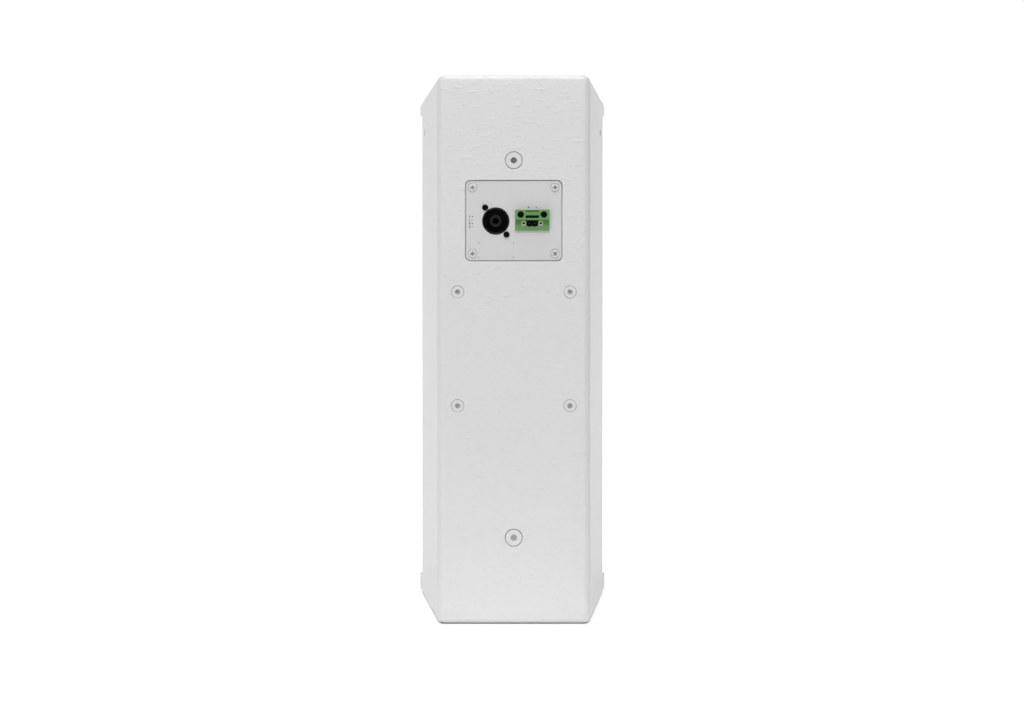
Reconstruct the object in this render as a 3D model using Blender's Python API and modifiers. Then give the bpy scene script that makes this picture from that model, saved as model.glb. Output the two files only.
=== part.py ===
"""Column loudspeaker with a trapezoid plan: wooden cabinet, perforated front
grille, two woofers in a vertical line with a high-frequency unit between them,
a passive crossover and a recessed rear terminal plate.

Metres, +Z up. The front faces -Y and the rear panel faces +Y. The origin is at
the middle of the cabinet's footprint, on the surface that it stands on.
"""

import math

import bmesh
import bpy
from mathutils import Matrix, Vector

MM = 0.001

# ---------------------------------------------------------------- dimensions
# All in millimetres.

HEIGHT = 488.4  # overall height of the cabinet
FRONT_WIDTH = 183.6  # width over the front lips
REAR_WIDTH = 135.2  # width of the rear panel
Y_FRONT = -97.0  # front lips
Y_REAR = 93.0  # rear panel's outer face
GAP = 0.3  # clearance between pieces that touch

PANEL = 12.0  # side and rear panels
TOP_T, BOTTOM_T = 15.0, 19.5  # top and bottom panels
BAFFLE = 15.0  # front baffle
EDGE_R = 6.5  # rounding of the cabinet's outer edges

FLARE = (FRONT_WIDTH - REAR_WIDTH) / 2 / (Y_REAR - Y_FRONT)  # side slope
SLANT = math.atan(FLARE)

# Grille: a folded sheet with two side flanges, let into the side panels.
GRILLE_T = 1.2
GRILLE_SET_BACK = 0.6  # front sheet behind the lips
FLANGE_INSET = 1.6  # flange's outer face below the side surface
FLANGE_DEPTH = 24.0
REBATE_DEPTH = FLANGE_INSET + GRILLE_T + GAP
REBATE_LENGTH = 26.0
BEND_R = 4.0
FOAM_T = 5.0
GRILLE_SCREW_Y = -82.0
GRILLE_SCREW_Z = (36.0, 456.9)

# Fixing points in the rear panel.
RIG_Z = (76.6, 412.0)  # two large points on the centre line
BRACKET_X = 50.0  # four points, about 100 mm apart each way
BRACKET_Z = (193.8, 295.0)
FASTENER_FACE = Y_REAR - 0.3

# Terminal plate and what it carries.
PLATE_W, PLATE_H, PLATE_T, PLATE_R = 84.8, 70.6, 2.0, 4.0
PLATE_Z = 358.4
PLATE_FACE = Y_REAR - 0.8
PLATE_SCREW_X, PLATE_SCREW_Z = 36.6, 29.4
POCKET_CLEAR = 0.6
CUTOUT_X, CUTOUT_Z = 32.0, 25.0  # half sizes of the hole behind the plate

SOCKET_X, SOCKET_Z = 16.0, 358.1
SOCKET_OR, SOCKET_BORE, POST_R = 11.8, 10.0, 5.4
SOCKET_SCREW = (9.5, 12.0)  # offsets of the two socket screws

HEADER_X, HEADER_Z = -16.4, 358.7
HEADER_W, HEADER_H = 30.4, 18.4
HEADER_SPLIT = 359.05  # lower edge of the taller strip
HEADER_TOP_FACE, HEADER_LOW_FACE = Y_REAR + 4.0, Y_REAR + 1.2
HEADER_SCREW_DX, HEADER_SCREW_Z = 10.25, 363.6
INSERT_DX, INSERT_Z = 7.55, 356.0
PIN_DX, PIN_Z = 2.5, 356.0

# Drivers.
BAFFLE_FACE = Y_FRONT + 18.0
WOOFER_Z = (95.2, 393.2)
HF_Z = 244.2
WOOFER_HOLE_R = 60.0
TURN = 18  # sides of the turned driver pieces


# ---------------------------------------------------------------- helpers
for old in list(bpy.data.objects):
    bpy.data.objects.remove(old, do_unlink=True)

PARTS = bpy.data.collections.new("line_array_speaker")
CUTTERS = bpy.data.collections.new("line_array_speaker_cutters")
bpy.context.scene.collection.children.link(PARTS)
bpy.context.scene.collection.children.link(CUTTERS)

FINISHES = {
    "white_paint": ((0.70, 0.71, 0.70), 0.62, 0.0),
    "grey_paint": ((0.62, 0.63, 0.63), 0.50, 0.2),
    "raw_board": ((0.36, 0.27, 0.18), 0.80, 0.0),
    "foam": ((0.30, 0.30, 0.30), 0.95, 0.0),
    "black_plastic": ((0.015, 0.015, 0.016), 0.42, 0.0),
    "black_steel": ((0.02, 0.02, 0.02), 0.40, 0.6),
    "green_plastic": ((0.12, 0.29, 0.09), 0.45, 0.0),
    "bright_steel": ((0.62, 0.62, 0.60), 0.28, 1.0),
    "brass": ((0.72, 0.56, 0.28), 0.30, 1.0),
    "ferrite": ((0.06, 0.06, 0.065), 0.70, 0.0),
    "paper_cone": ((0.035, 0.035, 0.036), 0.85, 0.0),
    "soft_rubber": ((0.02, 0.02, 0.02), 0.60, 0.0),
    "cloth": ((0.50, 0.36, 0.15), 0.90, 0.0),
    "copper": ((0.80, 0.36, 0.18), 0.30, 1.0),
    "circuit": ((0.03, 0.14, 0.07), 0.45, 0.0),
    "titanium": ((0.55, 0.56, 0.58), 0.32, 1.0),
}


def finish(obj, kind):
    """Give a piece its own Principled material."""
    colour, rough, metal = FINISHES[kind]
    mat = bpy.data.materials.new(obj.name + "_finish")
    mat.use_nodes = True
    bsdf = mat.node_tree.nodes["Principled BSDF"]
    bsdf.inputs["Base Color"].default_value = (*colour, 1.0)
    bsdf.inputs["Roughness"].default_value = rough
    bsdf.inputs["Metallic"].default_value = metal
    obj.data.materials.clear()
    obj.data.materials.append(mat)
    return obj


def place(name, mesh, kind=None):
    """Put a mesh in the scene: a piece with a finish, or a cutter without."""
    obj = bpy.data.objects.new(name, mesh)
    if kind:
        PARTS.objects.link(obj)
        finish(obj, kind)
    else:
        CUTTERS.objects.link(obj)
        obj.hide_render = True
        obj.display_type = "WIRE"
    return obj


def mesh_from(name, bm):
    mesh = bpy.data.meshes.new(name)
    bmesh.ops.recalc_face_normals(bm, faces=bm.faces[:])
    bm.to_mesh(mesh)
    bm.free()
    return mesh


def block(name, lo, hi, kind=None):
    """A box between two corners."""
    lo, hi = Vector(lo) * MM, Vector(hi) * MM
    size = hi - lo
    bm = bmesh.new()
    bmesh.ops.create_cube(
        bm,
        size=1.0,
        matrix=Matrix.Translation((lo + hi) / 2) @ Matrix.Diagonal((*size, 1.0)),
    )
    return place(name, mesh_from(name, bm), kind)


def rod(name, centre, radius, length, axis, sides=16, kind=None, turn=0.0):
    """A round or polygonal rod with its middle at centre and its length along axis."""
    bm = bmesh.new()
    bmesh.ops.create_cone(
        bm,
        cap_ends=True,
        segments=sides,
        radius1=radius * MM,
        radius2=radius * MM,
        depth=length * MM,
        matrix=Matrix.Rotation(turn, 4, "Z"),
    )
    obj = place(name, mesh_from(name, bm), kind)
    obj.rotation_mode = "QUATERNION"
    obj.rotation_quaternion = Vector(axis).to_track_quat("Z", "Y")
    obj.location = Vector(centre) * MM
    return obj


def turned(name, profile, origin, facing, sides=TURN, kind=None, ring=False):
    """A turned piece. The profile holds (radius, height) points that run down the
    outer side, and height is measured along facing from origin. A ring's profile
    closes on itself; any other starts and ends on the axis."""
    mesh = bpy.data.meshes.new(name)
    points = [(r * MM, 0.0, h * MM) for r, h in profile]
    edges = [(i, i + 1) for i in range(len(points) - 1)]
    if ring:
        edges.append((len(points) - 1, 0))
    mesh.from_pydata(points, edges, [])
    obj = place(name, mesh, kind)
    screw = obj.modifiers.new("Turn", "SCREW")
    screw.axis = "Z"
    screw.angle = 2 * math.pi
    screw.steps = screw.render_steps = sides
    screw.use_merge_vertices = True
    screw.merge_threshold = 0.00001
    screw.use_smooth_shade = True
    obj.rotation_euler = (-math.pi / 2 if facing > 0 else math.pi / 2, 0.0, 0.0)
    obj.location = Vector(origin) * MM
    return obj


def outline(name, points, low, high, normal="Z", kind=None):
    """A flat outline between two levels. In normal Z the points are (x, y) and the
    levels are z; in normal Y the points are (x, z) and the levels are y; in normal X
    the points are (y, z) and the levels are x."""
    curve = bpy.data.curves.new(name + "_outline", "CURVE")
    curve.dimensions = "2D"
    curve.fill_mode = "BOTH"
    curve.extrude = (high - low) / 2 * MM
    spline = curve.splines.new("POLY")
    spline.points.add(len(points) - 1)
    for point, (a, b) in zip(spline.points, points):
        point.co = (a * MM, b * MM, 0.0, 1.0)
    spline.use_cyclic_u = True
    flat = bpy.data.objects.new(name + "_outline", curve)
    CUTTERS.objects.link(flat)
    middle = (low + high) / 2 * MM
    if normal == "Y":
        flat.rotation_euler = (math.pi / 2, 0.0, 0.0)
        flat.location = (0.0, middle, 0.0)
    elif normal == "X":
        flat.rotation_euler = (math.pi / 2, 0.0, math.pi / 2)
        flat.location = (middle, 0.0, 0.0)
    else:
        flat.location = (0.0, 0.0, middle)
    bpy.context.view_layer.update()
    graph = bpy.context.evaluated_depsgraph_get()
    mesh = bpy.data.meshes.new_from_object(flat.evaluated_get(graph))
    mesh.name = name
    where = flat.matrix_world.copy()
    bpy.data.objects.remove(flat, do_unlink=True)
    bm = bmesh.new()
    bm.from_mesh(mesh)
    bmesh.ops.remove_doubles(bm, verts=bm.verts[:], dist=0.000005)
    bmesh.ops.recalc_face_normals(bm, faces=bm.faces[:])
    bm.to_mesh(mesh)
    bm.free()
    obj = place(name, mesh, kind)
    obj.matrix_world = where
    return obj


def boolean(obj, other, operation="DIFFERENCE"):
    mod = obj.modifiers.new(operation.title(), "BOOLEAN")
    mod.operation = operation
    mod.object = other
    mod.solver = "EXACT"
    return obj


def smooth(obj, angle=35.0):
    obj.data.shade_smooth()
    obj.data.set_sharp_from_angle(angle=math.radians(angle))
    return obj


def half_width(y):
    """Half of the cabinet's outer width at a depth."""
    return FRONT_WIDTH / 2 - FLARE * (y - Y_FRONT)


def below_side(y, depth):
    """Half width of the surface that lies a depth below the side surface."""
    return half_width(y) - depth / math.cos(SLANT)


def rounded_rect(cx, cy, w, h, r, steps=4):
    points = []
    for sx, sy, start in ((1, 1, 0.0), (-1, 1, 0.5), (-1, -1, 1.0), (1, -1, 1.5)):
        for i in range(steps + 1):
            a = (start + 0.5 * i / steps) * math.pi
            points.append(
                (
                    cx + sx * (w / 2 - r) + r * math.cos(a),
                    cy + sy * (h / 2 - r) + r * math.sin(a),
                )
            )
    return points


# ---------------------------------------------------------------- cabinet
def cabinet_blank(name):
    """The cabinet's whole outer form, with every edge but the front ones rounded."""
    bm = bmesh.new()
    bmesh.ops.create_cube(bm, size=2.0)
    for v in bm.verts:
        y = Y_FRONT if v.co.y < 0 else Y_REAR
        v.co = Vector(
            (
                math.copysign(half_width(y), v.co.x),
                y,
                HEIGHT if v.co.z > 0 else 0.0,
            )
        ) * MM
    rounded = [
        e for e in bm.edges if not all(v.co.y < (Y_FRONT + 1) * MM for v in e.verts)
    ]
    bmesh.ops.bevel(
        bm,
        geom=rounded,
        offset=EDGE_R * MM,
        segments=3,
        profile=0.5,
        affect="EDGES",
        clamp_overlap=True,
    )
    return place(name, mesh_from(name, bm), "white_paint")


def panel(name, slab):
    """The part of the cabinet's form that lies in a slab."""
    return boolean(cabinet_blank(name), slab, "INTERSECT")


panel(
    "top_panel",
    block("top_slab", (-150, -150, HEIGHT - TOP_T), (150, 150, HEIGHT + 20)),
)
panel("bottom_panel", block("bottom_slab", (-150, -150, -20), (150, 150, BOTTOM_T)))

LOW, HIGH = BOTTOM_T + GAP, HEIGHT - TOP_T - GAP
rear = panel(
    "rear_panel",
    block("rear_slab", (-150, Y_REAR - PANEL, LOW), (150, Y_REAR + 20, HIGH)),
)

SIDE_FRONT = Y_FRONT + GRILLE_SET_BACK + GRILLE_T + GAP
SIDE_REAR = Y_REAR - PANEL - GAP
sides = {}
for side, s in (("left", -1), ("right", 1)):
    slab = outline(
        side + "_slab",
        [
            (s * (half_width(SIDE_FRONT) + 10), SIDE_FRONT),
            (s * (half_width(SIDE_REAR) + 10), SIDE_REAR),
            (s * below_side(SIDE_REAR, PANEL), SIDE_REAR),
            (s * below_side(SIDE_FRONT, PANEL), SIDE_FRONT),
        ],
        LOW,
        HIGH,
    )
    rebate_end = Y_FRONT + REBATE_LENGTH
    rebate = outline(
        side + "_rebate",
        [
            (s * (half_width(Y_FRONT - 5) + 10), Y_FRONT - 5),
            (s * (half_width(rebate_end) + 10), rebate_end),
            (s * below_side(rebate_end, REBATE_DEPTH), rebate_end),
            (s * below_side(SIDE_FRONT + BEND_R, REBATE_DEPTH), SIDE_FRONT + BEND_R),
            (s * (below_side(SIDE_FRONT, REBATE_DEPTH) - BEND_R), SIDE_FRONT),
            (s * (below_side(SIDE_FRONT, REBATE_DEPTH) - BEND_R), Y_FRONT - 5),
        ],
        LOW - 5,
        HIGH + 5,
    )
    sides[s] = panel(side + "_side_panel", slab)
    boolean(sides[s], rebate)

# Baffle between the side panels, with two round holes and one for the waveguide.
BAFFLE_BACK = BAFFLE_FACE + BAFFLE
baffle = outline(
    "front_baffle",
    [
        (-below_side(BAFFLE_FACE, PANEL + GAP), BAFFLE_FACE),
        (below_side(BAFFLE_FACE, PANEL + GAP), BAFFLE_FACE),
        (below_side(BAFFLE_BACK, PANEL + GAP), BAFFLE_BACK),
        (-below_side(BAFFLE_BACK, PANEL + GAP), BAFFLE_BACK),
    ],
    LOW,
    HIGH,
    kind="raw_board",
)
for i, z in enumerate(WOOFER_Z):
    boolean(
        baffle,
        rod(
            f"woofer_hole_{i}",
            (0, BAFFLE_FACE + BAFFLE / 2, z),
            WOOFER_HOLE_R,
            BAFFLE + 8,
            (0, 1, 0),
            24,
        ),
    )
boolean(
    baffle,
    outline(
        "waveguide_hole",
        rounded_rect(0, HF_Z, 126, 136, 14, 3),
        BAFFLE_FACE - 4,
        BAFFLE_BACK + 4,
        "Y",
    ),
)

# ---------------------------------------------------------------- grille
def grille_path():
    """Plan of the grille's middle surface, from one flange end round to the other."""
    mid = FLANGE_INSET + GRILLE_T / 2
    y_mid = Y_FRONT + GRILLE_SET_BACK + GRILLE_T / 2
    y_end = Y_FRONT + FLANGE_DEPTH
    corner = Vector((below_side(y_mid, mid), y_mid))
    along = (Vector((below_side(y_end, mid), y_end)) - corner).normalized()
    turn = math.acos(max(-1.0, min(1.0, along.dot(Vector((-1, 0))))))
    reach = BEND_R / math.tan(turn / 2)
    first = corner + along * reach
    last = corner + Vector((-1, 0)) * reach
    inward = Vector((-along.y, along.x))
    centre = first + inward * BEND_R
    a0 = math.atan2(first.y - centre.y, first.x - centre.x)
    a1 = math.atan2(last.y - centre.y, last.x - centre.x)
    half = [Vector((below_side(y_end, mid), y_end))]
    for i in range(5):
        a = a0 + (a1 - a0) * i / 4
        half.append(centre + BEND_R * Vector((math.cos(a), math.sin(a))))
    return half + [Vector((-p.x, p.y)) for p in reversed(half)]


bm = bmesh.new()
low_z, high_z = (BOTTOM_T + 0.5) * MM, (HEIGHT - TOP_T - 0.5) * MM
row = [bm.verts.new((p.x * MM, p.y * MM, low_z)) for p in grille_path()]
strip = [bm.edges.new(pair) for pair in zip(row, row[1:])]
raised = bmesh.ops.extrude_edge_only(bm, edges=strip)["geom"]
bmesh.ops.translate(
    bm,
    verts=[v for v in raised if isinstance(v, bmesh.types.BMVert)],
    vec=(0, 0, high_z - low_z),
)
grille = place("front_grille", mesh_from("front_grille", bm), "white_paint")
sheet = grille.modifiers.new("Sheet", "SOLIDIFY")
sheet.thickness = GRILLE_T * MM
sheet.offset = 0.0
sheet.use_even_offset = True

FOAM_FRONT = Y_FRONT + GRILLE_SET_BACK + GRILLE_T + GAP
block(
    "grille_foam",
    (-78.4, FOAM_FRONT, BOTTOM_T + 0.5),
    (78.4, FOAM_FRONT + FOAM_T, HEIGHT - TOP_T - 0.5),
    "foam",
)


def pan_screw(name, seat, axis, head_r, head_h, shank_r, length, kind, sides=12):
    """A cross-recess pan-head screw that sits on a seat and points against axis."""
    axis = Vector(axis).normalized()
    mesh = bpy.data.meshes.new(name)
    profile = [
        (0.0, head_h),
        (head_r * 0.62, head_h * 0.92),
        (head_r, head_h * 0.45),
        (head_r, 0.0),
        (shank_r, 0.0),
        (shank_r, -length),
        (0.0, -length),
    ]
    mesh.from_pydata(
        [(r * MM, 0.0, h * MM) for r, h in profile],
        [(i, i + 1) for i in range(len(profile) - 1)],
        [],
    )
    obj = place(name, mesh, kind)
    screw = obj.modifiers.new("Turn", "SCREW")
    screw.steps = screw.render_steps = sides
    screw.use_merge_vertices = True
    screw.merge_threshold = 0.00001
    obj.rotation_mode = "QUATERNION"
    obj.rotation_quaternion = axis.to_track_quat("Z", "Y")
    obj.location = Vector(seat) * MM
    depth = head_h * 0.7
    arm, width = head_r * 0.58, head_r * 0.2
    cross = []
    for i, (a, b) in enumerate(((arm, width), (width, arm))):
        slot = block(
            f"{name}_recess_{i}", (-a, -b, head_h - depth), (a, b, head_h + 1)
        )
        slot.rotation_mode = "QUATERNION"
        slot.rotation_quaternion = obj.rotation_quaternion
        slot.location = obj.location
        cross.append(slot)
    for slot in cross:
        boolean(obj, slot)
    return obj


number = 0
for s in (-1, 1):
    normal = Vector((s * math.cos(SLANT), math.sin(SLANT), 0.0))
    for z in GRILLE_SCREW_Z:
        number += 1
        surface = Vector((s * half_width(GRILLE_SCREW_Y), GRILLE_SCREW_Y, z))
        seat = surface - normal * (FLANGE_INSET - 0.15)
        boolean(
            grille,
            rod(f"flange_hole_{number}", surface - normal * 2.2, 1.7, 6, normal, 12),
        )
        boolean(
            sides[s],
            rod(f"side_pilot_{number}", surface - normal * 6, 1.5, 12.6, normal, 12),
        )
        pan_screw(
            f"grille_screw_{number}",
            seat,
            normal,
            2.6,
            1.3,
            1.2,
            9.0,
            "white_paint",
        )

# ---------------------------------------------------------------- rear fixings
def fastener_hole(name, x, z, head_r, drop_r, through_r):
    """A countersunk hole in the rear panel: a short straight rim, a cone and a bore."""
    rim = 0.6
    cone = head_r - through_r
    return turned(
        name,
        [
            (0.0, 2.0),
            (head_r, 2.0),
            (head_r, -rim),
            (through_r, -rim - cone),
            (through_r, -PANEL - 3),
            (0.0, -PANEL - 3),
        ],
        (x, Y_REAR, z),
        1,
        18,
    )


def socket_screw(name, x, z, head_r, shank_r, length, hex_r, hex_depth):
    """A countersunk screw with a hexagon socket, its head just below the panel face."""
    rim = 0.4
    cone = head_r - shank_r
    obj = turned(
        name,
        [
            (0.0, 0.0),
            (head_r, 0.0),
            (head_r, -rim),
            (shank_r, -rim - cone),
            (shank_r, -length),
            (0.0, -length),
        ],
        (x, FASTENER_FACE, z),
        1,
        18,
        "white_paint",
    )
    boolean(
        obj,
        rod(
            name + "_hexagon",
            (x, FASTENER_FACE - hex_depth / 2 + 1, z),
            hex_r,
            hex_depth + 2,
            (0, 1, 0),
            6,
            turn=math.pi / 6,
        ),
    )
    return obj


INSIDE = Y_REAR - PANEL  # rear panel's inner face
for where, z in zip(("bottom", "top"), RIG_Z):
    boolean(rear, fastener_hole(f"rigging_hole_{where}", 0, z, 7.7, 7.2, 5.3))
    socket_screw(f"rigging_screw_{where}", 0, z, 7.2, 4.0, 24.0, 2.9, 3.2)
    turned(
        f"rigging_anchor_{where}",
        [(5.0, 7.0), (5.0, -GAP), (12.0, -GAP), (12.0, -2.3), (4.3, -2.3), (4.3, 7.0)],
        (0, INSIDE, z),
        1,
        18,
        "bright_steel",
        ring=True,
    )

backing = outline(
    "bracket_backing_plate",
    rounded_rect(0, sum(BRACKET_Z) / 2, 112, 122, 6, 2),
    INSIDE - GAP - 5.0,
    INSIDE - GAP,
    "Y",
    "bright_steel",
)
number = 0
for z in BRACKET_Z:
    for x in (-BRACKET_X, BRACKET_X):
        number += 1
        boolean(rear, fastener_hole(f"bracket_hole_{number}", x, z, 5.9, 5.4, 3.6))
        boolean(
            backing,
            rod(
                f"backing_bore_{number}", (x, INSIDE - 3, z), 3.3, 16, (0, 1, 0), 12
            ),
        )
        socket_screw(f"bracket_screw_{number}", x, z, 5.4, 3.0, 20.0, 2.3, 2.6)

# ---------------------------------------------------------------- terminal plate
boolean(
    rear,
    outline(
        "plate_pocket",
        rounded_rect(
            0,
            PLATE_Z,
            PLATE_W + 2 * POCKET_CLEAR,
            PLATE_H + 2 * POCKET_CLEAR,
            PLATE_R + POCKET_CLEAR,
        ),
        PLATE_FACE - PLATE_T - GAP,
        Y_REAR + 5,
        "Y",
    ),
)
boolean(
    rear,
    block(
        "terminal_cutout",
        (-CUTOUT_X, INSIDE - 5, PLATE_Z - CUTOUT_Z),
        (CUTOUT_X, Y_REAR + 5, PLATE_Z + CUTOUT_Z),
    ),
)
plate = outline(
    "terminal_plate",
    rounded_rect(0, PLATE_Z, PLATE_W, PLATE_H, PLATE_R),
    PLATE_FACE - PLATE_T,
    PLATE_FACE,
    "Y",
    "grey_paint",
)


def through(name, target, x, z, radius, sides=16):
    """A round hole along Y through a piece at the terminal plate."""
    return boolean(
        target, rod(name, (x, Y_REAR - 6, z), radius, 40, (0, 1, 0), sides)
    )


number = 0
for dz in (-PLATE_SCREW_Z, PLATE_SCREW_Z):
    for x in (-PLATE_SCREW_X, PLATE_SCREW_X):
        number += 1
        z = PLATE_Z + dz
        through(f"plate_hole_{number}", plate, x, z, 2.0, 12)
        through(f"plate_pilot_{number}", rear, x, z, 1.9, 12)
        pan_screw(
            f"plate_screw_{number}",
            (x, PLATE_FACE + 0.15, z),
            (0, 1, 0),
            3.6,
            1.7,
            1.5,
            10.5,
            "grey_paint",
        )

# Round speaker socket: a flanged tube behind the plate and a contact core in it.
through("socket_hole", plate, SOCKET_X, SOCKET_Z, SOCKET_OR + 0.4, 24)
FLANGE_BACK = PLATE_FACE - PLATE_T - GAP
shell = turned(
    "speaker_socket_shell",
    [
        (SOCKET_OR - 0.5, 0.6),
        (SOCKET_OR, 0.1),
        (SOCKET_OR, -18.0),
        (SOCKET_BORE, -18.0),
        (SOCKET_BORE, 0.2),
        (SOCKET_BORE + 0.4, 0.6),
    ],
    (SOCKET_X, PLATE_FACE, SOCKET_Z),
    1,
    24,
    "black_plastic",
    ring=True,
)
socket_flange = outline(
    "socket_flange",
    rounded_rect(SOCKET_X, SOCKET_Z, 26, 31, 3, 2),
    FLANGE_BACK - 2.5,
    FLANGE_BACK,
    "Y",
)
boolean(
    socket_flange,
    rod(
        "socket_flange_bore",
        (SOCKET_X, FLANGE_BACK - 1, SOCKET_Z),
        (SOCKET_OR + SOCKET_BORE) / 2,
        12,
        (0, 1, 0),
        24,
    ),
)
boolean(shell, socket_flange, "UNION")
turned(
    "speaker_socket_core",
    [
        (2.7, -1.6),
        (POST_R - 0.4, -1.6),
        (POST_R, -2.0),
        (POST_R, -18.3),
        (SOCKET_OR, -18.3),
        (SOCKET_OR, -21.0),
        (2.7, -21.0),
    ],
    (SOCKET_X, PLATE_FACE, SOCKET_Z),
    1,
    18,
    "black_plastic",
    ring=True,
)
for number, s in enumerate((1, -1), 1):
    x, z = SOCKET_X + s * SOCKET_SCREW[0], SOCKET_Z + s * SOCKET_SCREW[1]
    through(f"socket_plate_hole_{number}", plate, x, z, 1.7, 12)
    through(f"socket_flange_hole_{number}", shell, x, z, 1.7, 12)
    pan_screw(
        f"socket_screw_{number}",
        (x, PLATE_FACE + 0.15, z),
        (0, 1, 0),
        2.75,
        1.5,
        1.4,
        8.0,
        "black_steel",
    )

# Two-pole header: a stepped block on the plate with a body through it.
BODY_X, BODY_LOW, BODY_HIGH = 10.6, 350.7, 360.5
boolean(
    plate,
    block(
        "header_window",
        (HEADER_X - BODY_X - 0.4, PLATE_FACE - 6, BODY_LOW - 0.4),
        (HEADER_X + BODY_X + 0.4, PLATE_FACE + 6, BODY_HIGH + 0.4),
    ),
)
header_foot = PLATE_FACE + GAP
header_base, header_crown = HEADER_Z - HEADER_H / 2, HEADER_Z + HEADER_H / 2
header = outline(
    "link_header_housing",
    [
        (header_foot, header_base),
        (HEADER_LOW_FACE, header_base),
        (HEADER_LOW_FACE, HEADER_SPLIT),
        (HEADER_TOP_FACE, HEADER_SPLIT),
        (HEADER_TOP_FACE, header_crown),
        (header_foot, header_crown),
    ],
    HEADER_X - HEADER_W / 2,
    HEADER_X + HEADER_W / 2,
    "X",
    "green_plastic",
)
boolean(
    header,
    block(
        "header_body",
        (HEADER_X - BODY_X, PLATE_FACE - 14, BODY_LOW),
        (HEADER_X + BODY_X, PLATE_FACE + 1, BODY_HIGH),
    ),
    "UNION",
)


def cavity_points():
    """Pin cavity: a straight top and two shallow lobes at the bottom."""
    left, right, top, shoulder = HEADER_X - 5.15, HEADER_X + 5.15, 358.8, 354.7
    points = [(right, top), (left, top), (left, shoulder)]
    lobe, cusp = (right - left) / 4, 354.0
    for middle, start, stop in (
        (left + lobe, shoulder, cusp),
        (right - lobe, cusp, shoulder),
    ):
        for i in range(1, 8):
            a = math.pi + math.pi * i / 8
            level = start + (stop - start) * i / 8
            points.append((middle + lobe * math.cos(a), level + 1.25 * math.sin(a)))
        if stop == cusp:
            points.append((HEADER_X, cusp))
    points.append((right, shoulder))
    return points


boolean(
    header,
    outline("header_cavity", cavity_points(), PLATE_FACE - 9, Y_REAR + 3.0, "Y"),
)
boolean(
    header,
    block(
        "header_slot",
        (HEADER_X - 5.3, HEADER_TOP_FACE - 2.6, 360.9),
        (HEADER_X + 5.3, HEADER_TOP_FACE + 2, 362.8),
    ),
)
for number, s in enumerate((1, -1), 1):
    x = HEADER_X + s * HEADER_SCREW_DX
    boolean(
        header,
        rod(
            f"header_recess_{number}",
            (x, HEADER_TOP_FACE, HEADER_SCREW_Z),
            2.95,
            5.0,
            (0, 1, 0),
            20,
        ),
    )
    through(f"header_hole_{number}", header, x, HEADER_SCREW_Z, 1.7, 12)
    through(f"header_plate_hole_{number}", plate, x, HEADER_SCREW_Z, 1.7, 12)
    pan_screw(
        f"header_screw_{number}",
        (x, HEADER_TOP_FACE - 2.5 + 0.2, HEADER_SCREW_Z),
        (0, 1, 0),
        2.6,
        1.6,
        1.4,
        11.0,
        "black_steel",
    )
    x = HEADER_X + s * INSERT_DX
    boolean(
        header,
        rod(
            f"insert_hole_{number}",
            (x, HEADER_LOW_FACE, INSERT_Z),
            2.15,
            13.0,
            (0, 1, 0),
            12,
        ),
    )
    turned(
        f"header_insert_{number}",
        [(1.6, 0.25), (1.85, 0.1), (1.85, -6.0), (1.05, -6.0), (1.05, 0.1), (1.2, 0.25)],
        (x, HEADER_LOW_FACE, INSERT_Z),
        1,
        12,
        "bright_steel",
        ring=True,
    )
    x = HEADER_X + s * PIN_DX
    boolean(
        header,
        block(
            f"pin_hole_{number}",
            (x - 0.85, PLATE_FACE - 20, PIN_Z - 0.85),
            (x + 0.85, PLATE_FACE - 5, PIN_Z + 0.85),
        ),
    )
    pin = block(
        f"header_pin_{number}",
        (x - 0.5, PLATE_FACE - 20, PIN_Z - 0.5),
        (x + 0.5, PLATE_FACE - 0.5, PIN_Z + 0.5),
        "bright_steel",
    )
    point = pin.modifiers.new("Chamfer", "BEVEL")
    point.width = 0.00025
    point.segments = 1

# ---------------------------------------------------------------- crossover
BOARD_Z = 135.0
board = block(
    "crossover_board",
    (-44, INSIDE - 9.6, BOARD_Z - 36),
    (44, INSIDE - 8.0, BOARD_Z + 36),
    "circuit",
)
for i, (x, z) in enumerate(((-38, -30), (38, -30), (-38, 30), (38, 30))):
    boolean(
        board,
        rod(
            f"board_spacer_{i}",
            (x, INSIDE - 4.6, BOARD_Z + z),
            3.5,
            8.6,
            (0, 1, 0),
            12,
        ),
        "UNION",
    )
turned(
    "crossover_inductor",
    [
        (8.0, 20.0),
        (19.0, 20.0),
        (19.0, 18.5),
        (17.5, 18.5),
        (17.5, 1.5),
        (19.0, 1.5),
        (19.0, 0.0),
        (8.0, 0.0),
    ],
    (18, INSIDE - 9.6 - GAP, BOARD_Z + 4),
    -1,
    20,
    "copper",
    ring=True,
)
rod(
    "crossover_capacitor",
    (-21, INSIDE - 9.6 - GAP - 9.2, BOARD_Z),
    9.0,
    46,
    (0, 0, 1),
    20,
    "soft_rubber",
)


# ---------------------------------------------------------------- woofers
def cone_front(r):
    return -17.6 + (3.3 + 17.6) * (r - 13.4) / (46.5 - 13.4)


def cone_back(r):
    return -18.6 + (2.2 + 18.6) * (r - 14.2) / (46.5 - 14.2)


def cap_front(r):
    return -6.6 + (cone_front(20.0) + 6.6) * (r / 20.0) ** 2


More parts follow.
